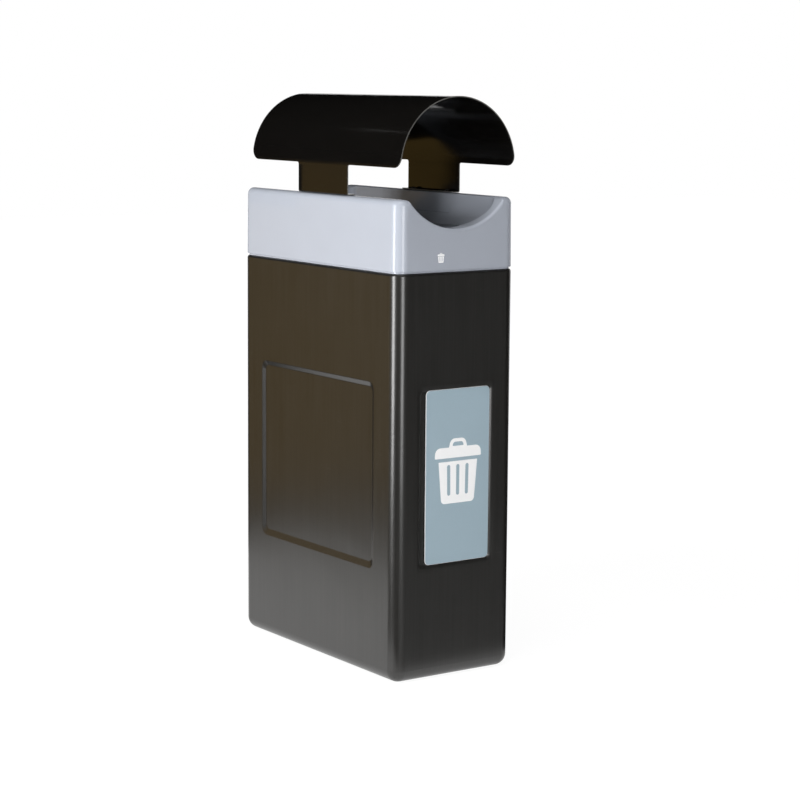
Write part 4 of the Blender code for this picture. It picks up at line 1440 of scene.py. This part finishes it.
@dataclass
class Liner:
    """The rigid liner inside: tapered, with a rolled rim, and a wire bail at each end."""

    finishes: Finishes
    top: Section = Section(0.126, 0.281, 0.040, 0)
    taper: tuple[float, float] = (0.014, 0.018)
    floor: float = 0.0053
    height: float = 0.838
    wall: float = 0.003
    foot: float = 0.020
    rim: float = 0.009
    rim_thickness: float = 0.004
    rim_round: float = 0.0015
    rim_root: float = 0.001
    bail_width: float = 0.110
    bail_drop: float = 0.062
    bail_radius: float = 0.0025
    bail_bend: float = 0.014
    bail_play: float = 0.0004
    bail_end: float = 0.003
    lug: Point = (0.010, 0.016, 0.016)
    lug_drop: float = 0.020
    lug_round: float = 0.0012
    bore_reach: float = 0.1

    def outline(self, inset: float, height: float) -> Section:
        """Give the liner's outline at a height, drawn in by its taper and an inset.

        Args:
            inset: how far it is drawn in.
            height: the height.

        Returns:
            The outline.
        """
        share = 1 - (height - self.floor) / self.height
        top = self.top
        return Section(
            top.half_x - self.taper[0] * share - inset, top.half_y - self.taper[1] * share - inset,
            top.radius - inset, height,
        )

    def build(self) -> None:
        """Make the liner's shell with its lugs, then the bails."""
        outline, rim_top = self.outline, self.floor + self.height
        half, under = self.rim_thickness / 2, rim_top - self.rim_thickness
        inner = self.foot - self.wall
        rows = [outline(self.foot * (1 - rise), self.floor + self.foot * (1 - run)) for rise, run in quarter(7)]
        rows += [outline(0, under), outline(-self.rim + self.rim_root, under)]
        for angle in (pi * step / 6 - pi / 2 for step in range(7)):
            rows.append(outline(-self.rim + half - half * cos(angle), under + half + half * sin(angle)))
        rows += [
            outline(self.wall - self.rim_round * (1 - rise), rim_top - self.rim_round * (1 - run))
            for rise, run in quarter(4)
        ]
        rows += [
            outline(self.wall + inner * (1 - rise), self.floor + self.wall + inner * (1 - run))
            for rise, run in reversed(quarter(6))
        ]
        axis = rim_top - self.lug_drop
        along = self.top.half_y - self.wall - self.lug[1] / 2
        size = Vector((self.lug[0], self.lug[1] + self.wall, self.lug[2]))
        solids = []
        for end in (-1, 1):
            for side in (-1, 1):
                centre = Vector((side * self.bail_width / 2, end * (along + self.wall / 2), axis))
                solids.append((rounded_box(size, centre, self.lug_round), "UNION"))
        bore, reach = self.bail_radius + self.bail_play, self.bore_reach
        for end in (-1, 1):
            place = Matrix.Translation((0, end * along, axis)) @ Matrix.Rotation(pi / 2, 4, "Y")
            solids.append((turned([(0, reach), (bore, reach), (bore, -reach), (0, -reach)], place, 24), "DIFFERENCE"))
        shell = carved(block(rows), solids)
        finish_piece("liner_moulding", shell, [self.finishes.liner], Body.BIN, Slot.LINER, ["liner"])
        self.bail("front", Vector((0, -along, axis)), Body.FRONT_BAIL)
        self.bail("rear", Vector((0, along, axis)), Body.REAR_BAIL)

    def bail(self, name: str, place: Vector, body: Body) -> None:
        """Bend one wire bail and hang it from its lugs.

        Args:
            name: front or rear.
            place: middle of its axis.
            body: the body that it moves with.
        """
        small = 2 * self.bail_radius
        inner = self.bail_width / 2 - self.lug[0] / 2 - self.bail_play - small
        tip = self.bail_width / 2 + self.lug[0] / 2 + self.bail_end
        turns = [(inner, 0, small), (inner, -self.bail_drop, self.bail_bend)]
        turns += [(-x, z, radius) for x, z, radius in reversed(turns)]
        bm = bmesh.new()
        corners = [bm.verts.new((x, 0, z)) for x, z in [(tip, 0), *((x, z) for x, z, _ in turns), (-tip, 0)]]
        for pair in zip(corners, corners[1:]):
            bm.edges.new(pair)
        for vert, (_, _, radius) in zip(corners[1:-1], turns):
            soften(bm, [vert], radius, 8)
        mesh = mesh_of(bm)
        line = self.walk(mesh)
        bpy.data.meshes.remove(mesh)
        wire = bpy.data.curves.new(f"bail_{name}", "CURVE")
        wire.dimensions = "3D"
        wire.bevel_depth = self.bail_radius
        wire.bevel_resolution = 5
        wire.use_fill_caps = True
        spline = wire.splines.new("POLY")
        spline.points.add(len(line) - 1)
        for point, spot in zip(spline.points, line):
            point.co = (*spot, 1)
        holder = linked("bail_curve", wire)
        solid = evaluated(holder)
        bpy.data.objects.remove(holder)
        bmesh.ops.transform(solid, matrix=Matrix.Translation(place), verts=solid.verts)
        bmesh.ops.recalc_face_normals(solid, faces=solid.faces)
        finish_piece(f"bail_{name}", solid, [self.finishes.zinc], body, Slot.ZINC, [f"liner_handle_{name}"])

    def walk(self, mesh: bpy.types.Mesh) -> list[Vector]:
        """Follow an open line of edges from one end to the other.

        Args:
            mesh: a mesh of one open line.

        Returns:
            Its points in order.
        """
        after: dict[int, list[int]] = {}
        for edge in mesh.edges:
            a, b = edge.vertices
            after.setdefault(a, []).append(b)
            after.setdefault(b, []).append(a)
        here = next(index for index, others in after.items() if len(others) == 1)
        path, last = [here], None
        while onward := [index for index in after[here] if index != last]:
            last, here = here, onward[0]
            path.append(here)
        return [mesh.vertices[index].co.copy() for index in path]


def dress_nodes(finishes: Finishes) -> None:
    """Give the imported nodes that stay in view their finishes.

    Args:
        finishes: the can's materials.
    """
    chosen = {f"sign_tape_{side}": finishes.tape for side in ("left", "right")}
    chosen |= {f"hood_{part}_{number}": finishes.zinc for number in range(1, 5) for part in ("washer", "nut")}
    for name, material in chosen.items():
        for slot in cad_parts[name].material_slots:
            slot.material = material
        LOG.info("%s: packed node, %s", name, material.name)


@dataclass
class Lamp:
    """One soft studio lamp."""

    name: str
    place: Point
    target: Point
    size: tuple[float, float]
    power: float
    colour: str = "ffffff"

    def build(self) -> None:
        """Hang the lamp and turn it to its target."""
        data = bpy.data.lights.new(self.name, "AREA")
        data.shape = "RECTANGLE"
        data.size, data.size_y = self.size
        data.energy = self.power
        data.color = linear(self.colour)[:3]
        lamp = linked(self.name, data)
        lamp.location = self.place
        lamp.rotation_euler = (Vector(self.target) - Vector(self.place)).to_track_quat("-Z", "Y").to_euler()


@dataclass
class Studio:
    """A white floor in white surroundings, soft lamps, and the camera where the photographer stood."""

    eye: Point = (-2.7665, -4.0827, 1.2821)
    right: Point = (0.82179, -0.56974, 0.00729)
    up: Point = (0.07620, 0.12258, 0.98953)
    lens: float = 100.08
    sensor: float = 36
    ambient: float = 0.13
    lamps: list[Lamp] = field(default_factory=lambda: [
        # A box at the left, which draws the first bright line on the near corner
        Lamp("left_softbox", (-2.35, -0.17, 0.95), (-0.14, -0.3, 0.95), (0.75, 1.7), 56),
        # A small hard lamp beside it, which lights the far wall of the mouth through the gap under the hood
        Lamp("left_key", (-2.3, -0.5, 1.5), (0, -0.1, 1.0), (0.3, 0.3), 3.5),
        # A weaker box in front, which draws the second line on the near corner
        Lamp("front_softbox", (-0.66, -2.44, 0.8), (-0.14, -0.3, 0.8), (0.72, 1.45), 23.5),
        # A box overhead, which brightens the lid's rim
        Lamp("top_softbox", (-0.5, -0.8, 3.3), (-0.1, -0.1, 1.0), (1.2, 1.2), 36),
        # A low warm board behind the left side, which gives the long side its brown sheen
        Lamp("warm_board", (-1.277, 1.302, 0.53), (-0.347, -0.128, 0.53), (1.33, 1.06), 1.72, "ffd27a"),
        # A short tube far above, which leaves a faint streak on the hood
        Lamp("ceiling_tube", (-0.88, 1.88, 2.44), (-0.13, -0.25, 1.17), (0.05, 0.12), 0.08),
    ])
    floor_size: float = 28
    glow_share: float = 0.8
    glow: tuple[float, float] = (1.16, 1.27)
    glow_reach: tuple[float, float] = (1.0, 4.0)
    tent_radius: float = 7.0
    tent_height: float = 6.0
    tent_gap: float = 2.4
    felt: str = "1a1a1a"
    card_place: tuple[float, float] = (1.95, -3.3)
    card_size: tuple[float, float] = (2.6, 0.8)
    card_glow: float = 0.16
    shade_place: tuple[float, float, float, float, float] = (-0.2, 0.15, 0.4, 0.99, 1.085)
    cloth_rise: float = 0.004
    # Left, near, right and far edge of each cloth, and its shade
    cloths: dict[str, tuple[float, float, float, float, str]] = field(default_factory=lambda: {
        "black_cloth_near": (-7, -7, -0.25, -0.4, "1a1a1a"),
        "black_cloth_left": (-7, -0.4, -0.45, 0.05, "1a1a1a"),
        "black_cloth_far_left": (-7, 0.05, -0.84, 7, "1a1a1a"),
        "black_cloth_behind": (-0.84, 1.15, 0.6, 7, "1a1a1a"),
        "black_cloth_right": (0.25, -0.4, 7, 1.15, "1a1a1a"),
        "black_cloth_near_right": (0.7, -0.9, 7, -0.4, "1a1a1a"),
        "black_cloth_far_right": (3, -3.2, 7, -0.9, "1a1a1a"),
        "black_cloth_front": (-0.25, -7, 7, -3.2, "1a1a1a"),
        "grey_cloth_front": (-0.25, -3.2, 3, -0.9, "959595"),
        "grey_cloth_near_front": (-0.25, -0.9, 0.7, -0.4, "959595"),
    })

    def build(self) -> None:
        """Set up floor, surroundings, dark cloths, lamps, camera and colour view."""
        self.floor()
        self.surroundings()
        self.tent()
        self.cloths_and_cards()
        for lamp in self.lamps:
            lamp.build()
        data = bpy.data.cameras.new("camera")
        data.lens = self.lens
        data.sensor_width = self.sensor
        data.sensor_fit = "HORIZONTAL"
        camera = linked("camera", data)
        x, y = Vector(self.right), Vector(self.up)
        camera.matrix_world = Matrix.Translation(self.eye) @ Matrix((x, y, x.cross(y))).transposed().to_4x4()
        bpy.context.scene.camera = camera
        bpy.context.scene.view_settings.view_transform = "Standard"

    def seen(self, tree: Tree) -> Socket:
        """Tell whether a ray shows the background, straight, in gloss or through glass.

        Args:
            tree: the node tree that asks.

        Returns:
            An output that is 1 for such a ray.
        """
        eye, gloss, glass = (
            add_node(tree, "LightPath", output=f"Is {kind} Ray") for kind in ("Camera", "Glossy", "Transmission")
        )
        either = add_node(tree, "Math", {0: eye, 1: gloss}, operation="MAXIMUM")
        return add_node(tree, "Math", {0: either, 1: glass}, operation="MAXIMUM")

    def rectangle(self, width: float, height: float, place: Matrix) -> BMesh:
        """Cut a flat rectangle.

        Args:
            width: its length along local X.
            height: its length along local Y.
            place: where its middle goes, and how it is turned.

        Returns:
            The rectangle as a new bmesh.
        """
        bm = bmesh.new()
        size = Matrix.Diagonal((width / 2, height / 2, 1, 1))
        bmesh.ops.create_grid(bm, x_segments=1, y_segments=1, size=1, matrix=place @ size)
        return bm

    def floor(self) -> None:
        """Lay the white floor, which keeps the can's shadow."""
        # White paper, matt
        made = principled("white_paper_floor", {
            "Base Color": linear("f2f2f2"), "Roughness": 0.9, "Specular IOR Level": 0.1,
        })
        tree = made.node_tree
        add = partial(add_node, tree)
        # Farther off, where the lamps reach it less, the paper is lifted to the white of the surroundings
        away = add("VectorMath", {0: add("TexCoord", output="Object")}, "Value", operation="LENGTH")
        near, far = self.glow_reach
        lift = add("MapRange", {0: away, 1: near, 2: far, 3: self.glow[0], 4: self.glow[1]})
        glow = add("Emission", {"Color": linear("ffffff"), "Strength": lift})
        share = add("Math", {0: self.seen(tree), 1: self.glow_share}, operation="MULTIPLY")
        both = add("MixShader", {0: share, 1: tree.nodes["Principled BSDF"].outputs[0], 2: glow})
        tree.links.new(both, tree.nodes["Material Output"].inputs["Surface"])
        mesh = mesh_of(self.rectangle(self.floor_size, self.floor_size, Matrix()), "floor")
        mesh.materials.append(made)
        floor = linked("floor", mesh)

    def surroundings(self) -> None:
        """Make the surroundings white to the eye and a plain soft light to matt surfaces."""
        world = bpy.data.worlds.new("white_studio")
        bpy.context.scene.world = world
        world.use_nodes = True
        tree = world.node_tree
        back = tree.nodes["Background"]
        back.inputs["Color"].default_value = (1, 1, 1, 1)
        level = add_node(tree, "MapRange", {0: self.seen(tree), 3: self.ambient, 4: 1.0})
        tree.links.new(level, back.inputs["Strength"])

    def tent(self) -> None:
        """Hang a black tent that only gloss sees, as is done round glossy black goods."""
        for name, low, high in (("black_tent", self.tent_gap, self.tent_height), ("black_wall", 0, self.tent_gap)):
            tent = bmesh.new()
            bmesh.ops.create_cone(
                tent, cap_ends=True, cap_tris=False, segments=48, radius1=self.tent_radius,
                radius2=self.tent_radius, depth=high - low, matrix=Matrix.Translation((0, 0, (low + high) / 2)),
            )
            spots = {face: face.calc_center_median() for face in tent.faces}
            if name == "black_tent":
                gone = [face for face, spot in spots.items() if spot.z < low + MERGE]
            else:
                # Behind the can the wall is left open, so that gloss shows the white surroundings there
                gone = [
                    face for face, spot in spots.items() if abs(face.normal.z) > 0.5 or (spot.x > 0 and spot.y > 0)
                ]
            bmesh.ops.delete(tent, geom=gone, context="FACES_ONLY")
            self.flag(name, tent, self.felt)

    def cloths_and_cards(self) -> None:
        """Lay cloths on the floor and stand two cards, which only gloss sees."""
        for name, (left, near, right, far, shade) in self.cloths.items():
            place = Matrix.Translation(((left + right) / 2, (near + far) / 2, self.cloth_rise))
            self.flag(name, self.rectangle(right - left, far - near, place), shade)
        # A dim grey card in front, at the right, which the narrow front shows as its soft sheen
        spot, height = Vector((*self.card_place, 0)), self.card_size[1]
        place = Matrix.Translation((*self.card_place, height / 2)) @ spot.to_track_quat("Z", "Y").to_matrix().to_4x4()
        self.flag("grey_card_front", self.rectangle(*self.card_size, place), "404040", self.card_glow)
        # A small black card beside the lid, so that the hood shows the warm board on its tab and not along its edge
        side, near, far, foot, top = self.shade_place
        place = Matrix.Translation((side, (near + far) / 2, (foot + top) / 2)) @ Matrix.Rotation(pi / 2, 4, "Y")
        self.flag("black_card_beside_lid", self.rectangle(top - foot, far - near, place), self.felt)

    def flag(self, name: str, bm: BMesh, shade: str, glow: float = 0.0) -> None:
        """Make one cloth or card that only gloss sees.

        Args:
            name: its name.
            bm: its mesh, which is freed.
            shade: its colour.
            glow: light that it gives off, as if a lamp stood at it.
        """
        mesh = mesh_of(bm, name)
        # Wool felt, quite matt
        mesh.materials.append(principled(f"{name}_felt", {
            "Base Color": linear(shade), "Roughness": 1.0, "Specular IOR Level": 0.0,
            "Emission Color": (1, 1, 1, 1), "Emission Strength": glow,
        }))
        cloth = linked(name, mesh)
        cloth.visible_camera = False
        cloth.visible_diffuse = False
        cloth.visible_transmission = False
        cloth.visible_shadow = False


def main() -> None:
    """Build the can's pieces in order, then the studio round them."""
    logging.basicConfig(level=logging.INFO, format="%(message)s")
    finishes = Finishes()
    assemblies: list[Callable[[Finishes], Any]] = [BinBody, LidShell, Hood, FrontSign, RearHinges, Liner]
    for assembly in assemblies:
        assembly(finishes).build()
    dress_nodes(finishes)
    Studio().build()


if __name__ == "__main__":
    main()
